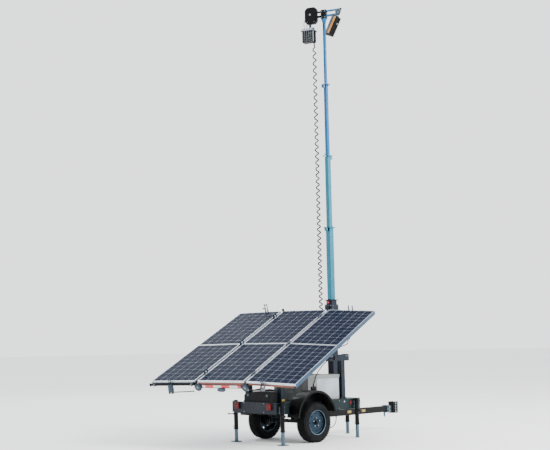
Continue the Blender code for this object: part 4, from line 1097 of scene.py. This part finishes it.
def controller():
    """The black controller case behind the stand: arched top, ribbed face, latches."""
    shape = Shape("plastic")
    arch = [(y, z) for y, z, _ in smooth_path(CASE_ARCH, 0.05)]
    outline = [(-0.419, DECK_TOP), (-0.419, 0.925), *arch, (0.299, 0.88), (0.299, DECK_TOP)]
    shape.prism(outline, CASE_REAR, CASE_FRONT, "X")
    shape.prism([(y, min(z, 0.918)) for y, z in outline], CASE_REAR - 0.0045, CASE_REAR, "X")
    rib = CASE_REAR - 0.0059
    for y in np.arange(-0.37, 0.27, 0.064):
        shape.box((rib, y, 0.775), (CASE_REAR - 0.0035, y + 0.02, 0.875), 0.001)
    for y in (-0.3, 0.2):
        shape.use("zinc").box((rib, y - 0.024, 0.862), (CASE_REAR + 0.004, y + 0.024, 0.905), 0.002)
        shape.use("bolt").bolt((CASE_REAR - 0.0055, y, 0.872), MINUS_X, 0.006, 0.003, washer=False)
    shape.done("controller_case_shell", "trailer", "black_plastic", replaces=["controller_case"], bevel=0.004)


# ------------------------------ deck, tongue, springs and lamps

DECK_SIDE, DECK_REAR = 0.5603, -0.9106
ROUND_LABEL = ((0, 0), (0.013, 0), (0.013, 0.002), (0.011, 0.004), (0, 0.005))
EYE = ((0.014, -0.004), (0.022, 0.0), (0.014, 0.004))
SPRING_Y, PLATE_UNDER = (0.398, 0.462), 0.3245


def deck_fittings(shape):
    """The near side's marker lamp and label, and what repeats on both sides."""
    shape.use("black").box((1.088, -0.5655, 0.628), (1.154, -DECK_SIDE, 0.704), 0.003)
    shape.use("red").box((1.094, -0.5705, 0.634), (1.148, -0.565, 0.698), 0.003)
    shape.use("white").lathe(ROUND_LABEL, (0.95, -DECK_SIDE, 0.694), MINUS_Y, 24)
    shape.use("bolt").bolt((1.185, -DECK_SIDE, 0.603), MINUS_Y, 0.011, 0.007)
    gusset = [(1.335, 0.56), (1.399, 0.56), (1.399, 0.7)]
    for side in (-1, 1):
        face = side * DECK_SIDE
        rows = [(x, face, z) for x in (0.62, 0.8, 1.3) for z in (0.575, 0.715)]
        shape.use("bolt").bolts(rows, (0, side, 0), 0.0065, 0.004)
        shape.bolts([(DECK_REAR, side * 0.26, z) for z in (0.585, 0.745)], MINUS_X, 0.0075, 0.005)
        shape.use("zinc").prism(gusset, *sorted((face, face + side * 0.0037)))
        shape.use("plastic").box((-0.862, face, 0.64), (-0.77, side * 0.565, 0.665), 0.002)
        shape.use("amber").box((-0.852, side * 0.5645, 0.6445), (-0.78, side * 0.569, 0.6605), 0.002)


def tongue_fittings(shape):
    for x in (1.66, 2.085):
        for side in (-1, 1):
            low, high = sorted((side * 0.0502, side * 0.0509))
            shape.use("yellow").box((x - 0.055, low, 0.412), (x + 0.055, high, 0.462), 0.0003)
    shape.use("bolt")
    for side in (-1, 1):
        channel = [(x, side * 0.0782, z) for x in (3.055, 3.115) for z in np.linspace(0.37, 0.533, 4)]
        shape.bolts(channel, (0, side, 0), 0.0145, 0.005)
    for z in (0.395, 0.465):
        shape.bolt((2.85, -0.0902, z), MINUS_Y, 0.015)
        shape.bolt((2.85, 0.0642, z), PLUS_Y, 0.013, 0.01)
    shape.use("zinc").lathe(EYE, (2.79, 0, 0.284), PLUS_Y, 24)


def spring_fittings(shape, side):
    """The axle's two U-bolts with their plate, and the spring's end bolts."""
    for x in (-0.055, 0.055):
        shape.use("zinc")
        for y, lean in zip(SPRING_Y, (0.002, -0.002)):
            ends = ((y + lean, 0.455), (y, 0.4), (y, 0.33))
            shape.sweep([(x, side * across, z) for across, z in ends], 0.0055, 10)
        nuts = [(x, side * y, PLATE_UNDER) for y in SPRING_Y]
        shape.use("bolt").screws(nuts, DOWN, 0.009, 0.008)
    shape.use("black").box((-0.075, side * 0.39, PLATE_UNDER), (0.075, side * 0.47, 0.333), 0.001)
    shape.use("bolt").bolts([(x, side * 0.4503, 0.505) for x in (-0.345, 0.345)], (0, side, 0), 0.012, 0.009)


def body_details():
    shape = Shape("bolt")
    deck_fittings(shape)
    tongue_fittings(shape)
    for side in (-1, 1):
        spring_fittings(shape, side)
    shape.done("body_fittings", "trailer", "black_paint")


def tail_lamp(side, label):
    y = side * 0.42
    lamp = Shape("black")
    lamp.box((-0.916, y - 0.0595, 0.6305), (DECK_REAR, y + 0.0595, 0.7495), 0.002)
    lamp.use("red").box((-0.956, y - 0.056, 0.634), (-0.9155, y + 0.056, 0.746), 0.009, 3)
    for z in (0.672, 0.708):
        lamp.use("black").box((-0.9572, y - 0.052, z - 0.0012), (-0.95, y + 0.052, z + 0.0012))
    screws = [(-0.9557, y - 0.046, 0.69), (-0.9557, y + 0.046, 0.69)]
    lamp.use("bolt").screws(screws, MINUS_X, 0.0045, 0.003)
    lamp.done("tail_lamp_body_" + label, "trailer", "tail_red", replaces=["tail_lamp_" + label])


FENDER_X, FENDER_Z = -0.02, 0.44


def on_fender(radius, angle, y):
    return FENDER_X + radius * math.cos(angle), y, FENDER_Z + radius * math.sin(angle)


def fender_beads():
    """The rolled edges of both fenders and the bolts along their inner side."""
    beads = Shape("black")
    angles = np.linspace(math.radians(12.5), math.radians(175.5), 40)
    for side in (-1, 1):
        for radius, y in ((0.48, 0.764), (0.5085, 0.7635)):
            beads.use("black").sweep([on_fender(radius, a, side * y) for a in angles], 0.0055, 10)
        for angle in (30, 60, 90, 120, 150):
            a = math.radians(angle)
            at = on_fender(0.5102, a, side * 0.495)
            beads.use("bolt").bolt(at, (math.cos(a), 0, math.sin(a)), 0.0065, 0.004)
    beads.done("fender_beads", "trailer", "black_paint")


# ------------------------------ wheels and jacks

WHEEL_RADIUS, TYRE_WIDTH, RIM_RADIUS, TRACK = 0.368, 0.215, 0.235, 1.278
TREAD_PITCHES = 58
GROOVES = (-0.05, -0.018, 0.018, 0.05)
RIM_FLANGE_EDGE = (
    (0.216, 0.0855), (0.2245, 0.086), (0.23, 0.0905), (0.23, 0.095), (0.2225, 0.0925), (0.216, 0.09),
)
RIM_STEP = ((0.193, 0.046), (0.199, 0.047), (0.201, 0.05), (0.1965, 0.053), (0.191, 0.0525))
HUB_CAP = (
    (0, 0.096), (0.018, 0.095), (0.028, 0.09), (0.032, 0.08), (0.034, 0.058), (0.039, 0.05), (0.039, 0.046),
    (0, 0.046),
)
VENT_RING = ((0.0172, 0.0505), (0.021, 0.05), (0.0205, 0.054), (0.018, 0.0545))
WHEEL_NUT = (
    (0, 0.083), (0.006, 0.082), (0.0125, 0.077), (0.0135, 0.06), (0.0165, 0.054), (0.0165, 0.05), (0, 0.05),
)
DRUM = ((0.045, -0.1), (0.104, -0.1), (0.108, -0.094), (0.108, -0.046), (0.096, -0.04), (0.045, -0.04))


def carcass():
    """The tyre's section, from one bead over the crown to the other and back inside: (radius, distance)."""
    half, bead, crown = TYRE_WIDTH / 2, RIM_RADIUS - 0.012, WHEEL_RADIUS - 0.009
    wall = [(bead, 0.02), (bead + 0.008, 0.006), (bead + 0.022, 0.001), (bead + 0.026, 0.004)]
    wall += [(bead + 0.05, 0.0005), (bead + 0.07, 0.0002), (bead + 0.073, 0.0026), (bead + 0.088, 0.0028)]
    wall += [(bead + 0.091, 0.0006), (WHEEL_RADIUS - 0.036, 0.0045), (WHEEL_RADIUS - 0.034, 0.009)]
    wall += [(WHEEL_RADIUS - 0.014, 0.021), (crown, 0.04)]
    inside = [(bead + 0.028, half - 0.048), (bead + 0.028, -half + 0.048)]
    return [(r, -half + inset) for r, inset in wall] + [(r, half - inset) for r, inset in wall[::-1]] + inside


def tyre(side, label):
    """A lathe-turned carcass with ribbed sidewalls, and blocks round its tread."""
    half = TYRE_WIDTH / 2
    shape = Shape("tyre").lathe(carcass(), ORIGIN, PLUS_Y, 96)
    edges = (-half + 0.036, *GROOVES, half - 0.036)
    length = 2 * math.pi * WHEEL_RADIUS / TREAD_PITCHES - 0.006
    for k in range(TREAD_PITCHES):
        for ring, (low, high) in enumerate(zip(edges, edges[1:])):
            block = turn(2 * math.pi * (k + 0.5 * (ring % 2)) / TREAD_PITCHES, "Y")
            corner = (-length / 2, low + 0.003, WHEEL_RADIUS - 0.011)
            shape.box(corner, (length / 2, high - 0.003, WHEEL_RADIUS - 0.0006), matrix=block)
        block = turn(2 * math.pi * k / TREAD_PITCHES, "Y")
        for way in (-1, 1):
            tilt = block @ move(0, way * (half - 0.0185), WHEEL_RADIUS - 0.0205) @ turn(way * 0.92, "X")
            shape.box((-0.013, -0.015, -0.003), (0.013, 0.015, 0.0032), matrix=tilt)
    hub = move(0, side * TRACK / 2, WHEEL_RADIUS)
    shape.done("tyre_tread_" + label, "wheel_" + label, "rubber", hub, ["tyre_" + label], smooth=30)


def rim(side, label):
    """Flanges, the step inside them, hub cap, vent rings, wheel nuts, valve and brake drum."""
    shape = Shape("zinc")
    outwards = (0, side, 0)
    for way in (-1, 1):
        shape.lathe(RIM_FLANGE_EDGE, ORIGIN, (0, way, 0), 72)
    shape.lathe(RIM_STEP, ORIGIN, outwards, 64)
    for k in range(8):
        x, z = around(0.16, k / 8)
        shape.lathe(VENT_RING, (x, 0, z), outwards, 24)
    shape.use("bolt")
    for k in range(5):
        x, z = around(0.078, (k + 0.25) / 5)
        shape.lathe(WHEEL_NUT, (x, 0, z), outwards, 6)
    shape.use("plastic").lathe(HUB_CAP, ORIGIN, outwards, 40)
    shape.lathe(DRUM, ORIGIN, outwards, 56)
    shape.use("tyre").rod((0.196, side * 0.056, 0.0), (0.205, side * 0.084, 0.0), 0.0045, 12, 0.0035)
    hub = move(0, side * TRACK / 2, WHEEL_RADIUS)
    shape.done("rim_fittings_" + label, "wheel_" + label, "rim_steel", hub)


JACKS = (
    ("rear_near", -0.789, -0.612, 0.235, 0.77),
    ("rear_far", -0.789, 0.612, 0.235, 0.77),
    ("front_near", 1.24, -0.612, 0.245, 0.74),
    ("front_far", 1.24, 0.612, 0.245, 0.74),
    ("tongue", 1.768, 0.103, 0.228, 0.7),
)
CRANK_Z, CRANK_OUT, CRANK_ARM = 0.52, 0.0623, 0.07
JACK_CAP = (
    (0, 0.012), (0.02, 0.011), (0.038, 0.005), (0.0435, 0.0), (0.0435, -0.01), (0.0415, -0.01),
    (0.0412, -0.0005), (0, -0.0005),
)
JACK_COLLAR = ((0.0413, -0.014), (0.0475, -0.012), (0.0475, 0.012), (0.0413, 0.014))
GEAR_BOSS = ((0, 0.0), (0.024, 0.0), (0.024, 0.018), (0.018, 0.024), (0, 0.024))
CRANK_GRIP = (
    (0, 0.034), (0.011, 0.034), (0.0128, 0.038), (0.0118, 0.05), (0.0128, 0.062), (0.0118, 0.074),
    (0.01, 0.0842), (0, 0.0848),
)


def jack_details(label, x, y, low, high):
    """A leg's cap, collars and pull pin with its ring and, but on the tongue, its brackets and gear boss."""
    side = 1 if y > 0 else -1
    shape = Shape("bolt")
    shape.use("plastic").lathe(JACK_CAP, (x, y, high + 0.0006), UP, 36)
    for z in (low + 0.016, 0.66):
        shape.use("black").lathe(JACK_COLLAR, (x, y, z), UP, 36)
    pin_z = low + 0.06
    shape.use("bolt").rod((x - 0.06, y, pin_z), (x + 0.052, y, pin_z), 0.0065, 14, bevel=0.001)
    shape.rod((x - 0.066, y, pin_z), (x - 0.058, y, pin_z), 0.011, 16, bevel=0.0015)
    ring = [around(0.018, k / 24) for k in range(25)]
    shape.sweep([(x - 0.062, y + a, pin_z - 0.018 + b) for a, b in ring], 0.0018, 8)
    if label != "tongue":
        deck = side * (DECK_SIDE + 0.0001)
        shape.use("zinc").box((x - 0.066, deck, 0.566), (x - 0.0555, y, 0.7), 0.002)
        shape.box((x + 0.0555, deck, 0.566), (x + 0.066, y, 0.7), 0.002)
        row = [(x - 0.0662, y - side * 0.02, z) for z in (0.59, 0.676)]
        shape.use("bolt").bolts(row, MINUS_X, 0.0075, 0.005)
        shape.use("black").lathe(GEAR_BOSS, (x, y + side * 0.036, CRANK_Z), (0, side, 0), 28)
        jack_crank(label, side, move(x, y + side * CRANK_OUT, CRANK_Z))
    shape.done("jack_fittings_" + label, "trailer", "black_paint")


def jack_crank(label, side, place):
    shape = Shape("zinc")
    shape.rod((0, 0, 0), (0, side * 0.03, 0), 0.0088, 20, bevel=0.001)
    shape.box((-CRANK_ARM - 0.0098, side * 0.0185, -0.0098), (0.0098, side * 0.0275, 0.0098), 0.003)
    shape.rod((-CRANK_ARM, side * 0.02, 0), (-CRANK_ARM, side * 0.036, 0), 0.0085, 18)
    shape.use("plastic").lathe(CRANK_GRIP, (-CRANK_ARM, 0, 0), (0, side, 0), 24)
    shape.use("bolt").bolt((0, side * 0.0292, 0), (0, side, 0), 0.0065, 0.0006, washer=False)
    shape.done("jack_handle_" + label, "crank_" + label, "black_plastic", place, ["jack_crank_" + label])


# ------------------------------ mast and winch

GUIDE_ROLLER = (
    (0.0262, -0.014), (0.029, -0.012), (0.029, -0.006), (0.0265, 0.0), (0.029, 0.006), (0.029, 0.012),
    (0.0262, 0.014),
)
DRUM_X, DRUM_Z = MAST_SIDES[0] / 2 + 0.0653, 1.19
WINCH_WRAPS, WRAP_STEPS = 8, 24
GEAR_TEETH = 24
WINCH_GRIP = (
    (0, 0.041), (0.012, 0.041), (0.0138, 0.048), (0.0128, 0.068), (0.0138, 0.088), (0.0128, 0.108),
    (0.01, 0.1245), (0, 0.1248),
)


def collar_pads(shape, top, inner):
    """Four wear pads against the next section's faces."""
    reach, wide = inner + 0.0026, inner * 0.55
    for dx, dy in ((1, 0), (-1, 0), (0, 1), (0, -1)):
        across_x, across_y = abs(dy) * wide, abs(dx) * wide
        low = (dx * reach - across_x, dy * reach - across_y, top + 0.0002)
        shape.box(low, (dx * (reach + 0.01) + across_x, dy * (reach + 0.01) + across_y, top + 0.007), 0.0015)


def collar_pulley(shape, way, half, wheel_x, top):
    """The plates on a sliding section's collar, and the wheel that its cable runs over."""
    rim = way * (half + 0.03)
    shape.use("alloy").box((way * (half - 0.004), -0.03, top - 0.0245), (rim, 0.03, top - 0.0195), 0.001)
    outer = -way * (half + 0.02)
    shape.box((-way * (half - 0.002), -0.024, top - 0.03), (outer, 0.024, top - 0.004), 0.003)
    screws = [(outer, y, top - 0.017) for y in (-0.012, 0.012)]
    shape.use("bolt").screws(screws, (-way, 0, 0), 0.005, 0.004)
    for side in (-1, 1):
        shape.bolt((wheel_x, side * 0.0202, top - 0.05), (0, side, 0), 0.01, 0.007)
    shape.use("slate").lathe(GUIDE_ROLLER, (wheel_x, 0, top - 0.05), PLUS_Y, 36)


def collar_details():
    for index, (side, top) in enumerate(zip(MAST_SIDES[:-1], MAST_TOPS)):
        half = side / 2 + (0.03 if index else 0.022)
        shape = Shape("bolt")
        corner = (0.011 - half, half - 0.011)
        shape.bolts(grid(corner, corner, top + 0.0002), UP, 0.0065, 0.005)
        collar_pads(shape.use("plastic"), top, MAST_SIDES[index + 1] / 2)
        if index:
            way = 1 if index == 2 else -1
            collar_pulley(shape, way, half, way * (side / 2 + 0.042), top)
        body = f"mast_{index + 1}" if index else "trailer"
        shape.done(f"collar_fittings_{index + 1}", body, "galvanised", MAST)


def base_mast_details():
    """The first section's top sleeve, its lock knob, its foot bolts and its guide blocks."""
    shape = Shape("bolt")
    for z in (2.462, 2.538):
        for side in (-1, 1):
            shape.bolts([(side * 0.0962, y, z) for y in (-0.07, 0.0, 0.07)], (side, 0, 0), 0.0075)
        shape.bolts([(-0.07, -0.0962, z), (0.07, -0.0962, z)], MINUS_Y, 0.0075)
    knob_z, lobes = 2.602, []
    for k in range(48):
        lobes.append(around(0.0215 + 0.0025 * math.cos(7 * 2 * math.pi * k / 48), k / 48))
    shape.use("knob").prism(lobes, -0.118, -0.095, "X", move(0, 0, knob_z))
    shape.use("zinc").rod((-0.0955, 0, knob_z), (-0.076, 0, knob_z), 0.0195, 20, bevel=0.002)
    shape.use("bolt").bolts(grid((-0.035, 0.035), (-0.085, 0.085), DECK_TOP + 0.01), UP, 0.0085, 0.007)
    for z in (0.9, 1.65, 2.2):
        shape.use("plastic").box((-0.0758, -0.012, z), (-0.0737, 0.012, z + 0.02), 0.0015)
    shape.done("mast_base_fittings", "trailer", "frame_navy", MAST)


def winch_details():
    """The rope's wraps on the drum, the gear beside them and the winch's bolts."""
    face = MAST_SIDES[0] / 2
    winch = Shape("zinc")
    wraps = []
    for k in range(WINCH_WRAPS * WRAP_STEPS + 1):
        a, b = around(0.0375, k / WRAP_STEPS)
        wraps.append((DRUM_X + a, -0.036 + 0.072 * k / (WINCH_WRAPS * WRAP_STEPS), DRUM_Z + b))
    winch.sweep(wraps, 0.0035, 8)
    points = 3 * GEAR_TEETH
    teeth = [around(0.052 if k % 3 else 0.058, k / points) for k in range(points)]
    winch.use("black").prism(teeth, -0.0555, -0.0485, matrix=move(DRUM_X, 0, DRUM_Z))
    mounts = [(face + 0.0085, y, z) for y in (-0.045, 0.045) for z in (1.095, 1.305)]
    winch.use("bolt").bolts(mounts, PLUS_X, 0.0075, 0.005)
    winch.bolt((DRUM_X, -0.0557, DRUM_Z), MINUS_Y, 0.012, 0.009)
    for x in (face + 0.03, face + 0.098):
        winch.rod((x, -0.0485, 1.262), (x, 0.0485, 1.262), 0.006, 14, bevel=0.001)
    winch.done("winch_fittings", "trailer", "galvanised", MAST)


def winch_handle():
    handle = Shape("zinc")
    handle.rod((0, 0, 0), (0, 0.0435, 0), 0.0098, 20, bevel=0.001)
    handle.box((-0.0118, 0.0322, -0.1898), (0.0118, 0.0398, 0.0118), 0.003)
    handle.use("plastic").lathe(WINCH_GRIP, (0, 0, -0.175), PLUS_Y, 28)
    handle.use("bolt").bolt((0, 0.04, 0), PLUS_Y, 0.0085, 0.003)
    place = MAST @ move(DRUM_X, 0.0483, DRUM_Z)
    handle.done("winch_crank_handle", "winch_crank", "black_plastic", place, ["winch_handle"])


# ------------------------------ head and lamps

ARM_TOP, UPPER_BAR, LOWER_BAR, UPPER_X = MAST_TOPS[4], HEAD_Z + 0.005, HEAD_Z - 0.095, 0.018
NECK = (
    (0.0, ARM_TOP - 0.083), (0.033, ARM_TOP - 0.083), (0.04, ARM_TOP - 0.05), (0.058, ARM_TOP + 0.01),
    (0.058, ARM_TOP + 0.0135), (0, ARM_TOP + 0.0135),
)
BAR_CAP = ((0, 0.0), (0.0245, 0.0), (0.0248, 0.016), (0.02, 0.0215), (0, 0.0218))
LOWER_CAP = ((0, 0), (0.0242, 0), (0.0242, 0.006), (0, 0.0075))
BAR_BAND = ((0.0201, -0.006), (0.0225, -0.005), (0.0225, 0.005), (0.0201, 0.006))
NEAR_PLATE = (
    (-0.3645, HEAD_Z - 0.06), (-0.33, HEAD_Z - 0.1245), (-0.272, HEAD_Z - 0.1245), (-0.2455, HEAD_Z - 0.085),
    (-0.2455, HEAD_Z - 0.02), (-0.272, HEAD_Z + 0.0095), (-0.3645, HEAD_Z + 0.0095),
)


def arm_bars(shape):
    """The neck and two bars across it, blue towards the near side and black in part towards the far side."""
    shape.use("blue_arm").lathe(NECK, ORIGIN, UP, 40)
    for look, low, high in (("blue_arm", -0.358, 0.05), ("blue_arm", 0.3, 0.358), ("black", 0.05, 0.3)):
        shape.use(look).rod((UPPER_X, low, UPPER_BAR), (UPPER_X, high, UPPER_BAR), 0.0198, 28)
    for look, low, high in (("blue_arm", -0.2845, 0.05), ("black", 0.05, 0.325)):
        shape.use(look).rod((0, low, LOWER_BAR), (0, high, LOWER_BAR), 0.0238, 28)
    shape.use("plastic").lathe(LOWER_CAP, (0, 0.324, LOWER_BAR), PLUS_Y, 32)
    for side in (-1, 1):
        shape.lathe(BAR_CAP, (UPPER_X, side * 0.35, UPPER_BAR), (0, side, 0), 32)
        shape.lathe(BAR_BAND, (UPPER_X, side * 0.16, UPPER_BAR), PLUS_Y, 28)


def lamp_arm():
    shape = Shape("blue_arm")
    shape.use("black").box((-0.0465, -0.0545, ARM_TOP + 0.012), (0.0465, 0.0545, ARM_TOP + 0.1995), 0.004)
    arm_bars(shape)
    shape.use("slate").prism(NEAR_PLATE, -0.0058, 0.0058, "X")
    shape.box((-0.0778, 0.2105, LOWER_BAR - 0.0148), (-0.0102, 0.2295, LOWER_BAR + 0.0148), 0.002)
    shape.box((-0.0038, 0.2805, 8.1256), (0.0038, 0.3295, LOWER_BAR), 0.001)
    near = [(-0.006, y, HEAD_Z + z) for y, z in ((-0.345, -0.01), (-0.272, -0.01), (-0.268, -0.085))]
    head = [(-0.0467, y, z) for y in (-0.035, 0.035) for z in (8.345, 8.465)]
    shape.use("bolt").bolts(near + head, MINUS_X, 0.0085)
    shape.bolts([(-0.004, 0.305, z) for z in (8.15, 8.33)], MINUS_X, 0.0065, 0.005)
    shape.done("lamp_arm_frame", "mast_5", "black_paint", HEAD, ["lamp_arm"])


FIN_LOW, FIN_HIGH, LID_LOW, LID_HIGH = 7.872, 8.098, 8.1115, 8.1246
GLAND = ((0, 0.0), (0.0138, 0.0), (0.0138, 0.01), (0.01, 0.013), (0.01, 0.024), (0, 0.0245))
CORD_SOCKET = ((0, -0.026), (0.0125, -0.026), (0.0158, -0.016), (0.0158, 0.0), (0, 0.0))


def driver_fins(shape):
    for k, y in enumerate(np.arange(0.215, 0.456, 0.0148)):
        shape.use("plastic" if k % 3 else "alloy")
        for way in (-1, 1):
            shape.box((way * 0.0685, y - 0.0018, FIN_LOW), (way * 0.0848, y + 0.0018, FIN_HIGH), 0.0006)
    shape.use("plastic")
    for x in np.arange(-0.06, 0.061, 0.015):
        for edge in (0.2105, 0.444):
            shape.box((x - 0.0018, edge, FIN_LOW), (x + 0.0018, edge + 0.015, FIN_HIGH), 0.0006)


def driver():
    """The lamps' driver under the arm: a finned case, a pale lid, glands and connectors."""
    shape = Shape("plastic")
    shape.box((-0.07, 0.225, 7.871), (0.07, 0.445, 8.1), 0.004)
    driver_fins(shape)
    shape.use("slate").box((-0.0948, 0.1905, 8.0992), (0.0948, 0.4795, LID_LOW), 0.003)
    for y in (0.285, 0.345, 0.405):
        shape.rod((-0.083, y, 8.14), (-0.087, y, 8.14), 0.01, 16)
    shape.use("pale").box((-0.085, 0.202, LID_LOW), (0.085, 0.47, LID_HIGH), 0.002)
    shape.box((-0.084, 0.255, 8.124), (-0.018, 0.469, 8.156), 0.004)
    shape.use("green").box((-0.087, 0.275, 8.03), (-0.084, 0.29, 8.06), 0.001)
    shape.box((-0.075, 0.2, LID_HIGH + 0.0001), (-0.018, 0.24, 8.16), 0.006)
    for y in (0.245, 0.375, 0.43):
        shape.use("plastic").lathe(GLAND, (0, y, LID_HIGH + 0.0001), UP, 12)
    shape.lathe(CORD_SOCKET, (0, COIL_Y, 7.877), UP, 24)
    screws = grid((-0.083, 0.083), (0.203, 0.467), LID_LOW + 0.0001)
    shape.use("bolt").screws(screws, UP, 0.005, 0.004)
    shape.done("lamp_driver_case", "mast_5", "black_plastic", HEAD, ["lamp_driver"])


NEAR_WIDE, NEAR_LOW, NEAR_HIGH = 0.135, -0.505, -0.092
LENS_FACE = -0.0495
NEAR_HOUSING = (
    (-0.022, -NEAR_WIDE), (0.03, -NEAR_WIDE), (0.05, -0.1),
    (0.05, 0.1), (0.03, NEAR_WIDE), (-0.022, NEAR_WIDE),
)


def near_housing(shape):
    shape.box((-0.05, -NEAR_WIDE, NEAR_LOW + 0.03), (-0.022, NEAR_WIDE, NEAR_HIGH), 0.005)
    shape.use("black").prism(NEAR_HOUSING, NEAR_LOW, NEAR_HIGH - 0.02, "Z")
    shape.use("plastic")
    for z in np.linspace(NEAR_LOW + 0.012, NEAR_HIGH - 0.03, 17):
        for edge in (-NEAR_WIDE - 0.001, NEAR_WIDE + 0.001):
            shape.box((-0.016, edge - 0.003, z - 0.002), (0.026, edge + 0.003, z + 0.002), 0.0008)
        shape.box((0.048, -0.098, z - 0.002), (0.0545, 0.098, z + 0.002), 0.0008)


def near_face(shape):
    """The slate panel beside the lens, the lens in its black surround and the screws round them."""
    low, high = NEAR_LOW + 0.034, NEAR_HIGH - 0.006
    shape.use("slate").box((-0.0585, 0.036, low), (LENS_FACE, NEAR_WIDE - 0.003, NEAR_HIGH - 0.004), 0.003)
    shape.use("glass").box((-0.0575, -0.078, NEAR_LOW + 0.04), (LENS_FACE, 0.03, NEAR_HIGH - 0.012), 0.001)
    shape.use("black")
    for y in (-0.084, 0.03):
        shape.box((-0.0615, y, low), (LENS_FACE, y + 0.006, high), 0.001)
    for z in (low, high - 0.006):
        shape.box((-0.0615, -0.084, z), (LENS_FACE, 0.036, z + 0.006), 0.001)
    rows = ((-0.0585, 0.05), (-0.0585, 0.118), (-0.05, -0.112))
    screws = [(x, y, z) for x, y in rows for z in (-0.4585, -0.1085)]
    shape.use("bolt").screws(screws, MINUS_X, 0.005, 0.003)


def near_lamp():
    """The near floodlight: slate side panel, amber lens, deep ribbed housing behind, hung from a bracket."""
    shape = Shape("plastic")
    near_housing(shape)
    near_face(shape)
    shape.bolt((0.0, -NEAR_WIDE - 0.0005, -0.2385), MINUS_Y, 0.012)
    shape.done("flood_lamp_near_body", "lamp_near", "black_plastic", LAMP_NEAR_SWUNG, ["flood_lamp_near"])
    bracket = Shape("slate")
    bracket.box((-0.0335, -0.0155, -0.0795), (-0.0225, 0.0155, 0.0095), 0.002)
    bracket.box((-0.1995, -0.0595, -0.0915), (-0.0225, 0.0155, -0.0745), 0.002)
    bracket.rod((-0.0005, 0, 0), (-0.0335, 0, 0), 0.0218, 28, bevel=0.001)
    bracket.use("bolt").bolt((-0.0336, 0, 0), MINUS_X, 0.012, 0.008)
    bracket.bolts([(x, -0.022, -0.0745) for x in (-0.17, -0.11)], UP, 0.009)
    bracket.done("near_lamp_bracket", "lamp_near", "black_paint", LAMP_NEAR)


FAR_WIDE, FAR_TALL, FAR_CORNER = 0.125, 0.17, 0.046


def far_fins(shape):
    """Fins across the back of the housing, and two shorter sets on the side of the arm."""
    for z in np.linspace(-FAR_TALL + 0.03, FAR_TALL - 0.03, 15):
        low, high = z - 0.0022, z + 0.0022
        reach = FAR_WIDE - 0.02 - max(0.0, abs(z) - (FAR_TALL - FAR_CORNER))
        shape.box((-0.1215, -reach, low), (-0.1175, reach, high), 0.0008)
        for start, end in ((0.004 - reach, -0.027), (0.027, reach - 0.004)):
            shape.box((-0.0305, start, low), (-0.006, end, high), 0.0008)


def far_lamp():
    """The far floodlight: an eight-sided housing seen from its ribbed side, its lens facing away."""
    shape = Shape("plastic")
    shape.use("black").prism(octagon(0, 0, FAR_WIDE, FAR_TALL, FAR_CORNER), -0.11, -0.03, "X")
    shape.prism(octagon(0, 0, FAR_WIDE - 0.016, FAR_TALL - 0.016, FAR_CORNER), -0.118, -0.11, "X")
    far_fins(shape.use("plastic"))
    for way in (-1, 1):
        shape.use("slate").box((-0.0298, way * 0.0121, -0.0198), (0.0138, way * 0.0218, 0.0198), 0.002)
        shape.use("bolt").bolt((0, way * 0.0222, 0), (0, way, 0), 0.011, 0.001, washer=False)
    shape.use("slate").box((-0.105, FAR_WIDE - 0.003, -0.118), (-0.035, FAR_WIDE + 0.006, 0.118), 0.002)
    shape.use("glass").box((-0.098, FAR_WIDE + 0.004, -0.11), (-0.042, FAR_WIDE + 0.0105, 0.11), 0.001)
    shape.use("bolt").bolt((-0.1215, 0.01, 0.02), MINUS_X, 0.014, 0.005)
    shape.bolts([(-0.1182, y, -0.128) for y in (-0.075, 0.075)], MINUS_X, 0.006, 0.004)
    shape.done("flood_lamp_far_body", "lamp_far", "black_plastic", LAMP_FAR, ["flood_lamp_far"])


# ------------------------------ everything, and the CAD nodes' own looks

trailer_cords()
wing_cord()
modules_and_clamps()
centre_edges()
near_edges()
far_edges()
stay("near", -0.88, 0.09)
stay("far", 1.095, 0.0)
stand_details()
turret_details()
cabinet_details()
controller()
body_details()
fender_beads()
for side, label in SIDES:
    tail_lamp(side, label)
    tyre(side, label)
    rim(side, label)
for entry in JACKS:
    jack_details(*entry)
collar_details()
base_mast_details()
winch_details()
winch_handle()
lamp_arm()
driver()
near_lamp()
far_lamp()
lamp_cords()

NODE_EDGE = 0.0016  # the rounding of a node's edges
NODE_LOOKS = {
    "deck_shell": "deck", "chassis_frame": "black", "tongue_tube": "black", "tongue_clamp": "zinc",
    "axle_beam": "black", "leaf_spring_near": "black", "leaf_spring_far": "black", "fender_near": "black",
    "fender_far": "black", "rear_bumper": "grey", "cabinet_body": "cabinet", "cabinet_lid": "cabinet",
    "battery_block": "plastic", "array_stand": "navy", "transport_cradle": "navy", "mast_base": "navy",
    "mast_section_2": "mast", "mast_section_3": "mast", "mast_section_4": "mast_top",
    "mast_section_5": "mast_top", "winch_body": "zinc", "array_turret": "navy",
    "array_centre_frame": "array", "wing_frame_near": "array", "wing_frame_far": "array",
    "rim_near": "rim", "rim_far": "rim",
}
for name, node in NODES.items():
    if name.startswith("jack_leg"):
        look = "zinc"
    elif name.startswith("jack"):
        look = "black"
    else:
        look = NODE_LOOKS.get(name, "plastic")
    for slot in node.material_slots:
        slot.material = M[look]
    if name in NODE_LOOKS or name.startswith("jack"):
        soften(node, NODE_EDGE)
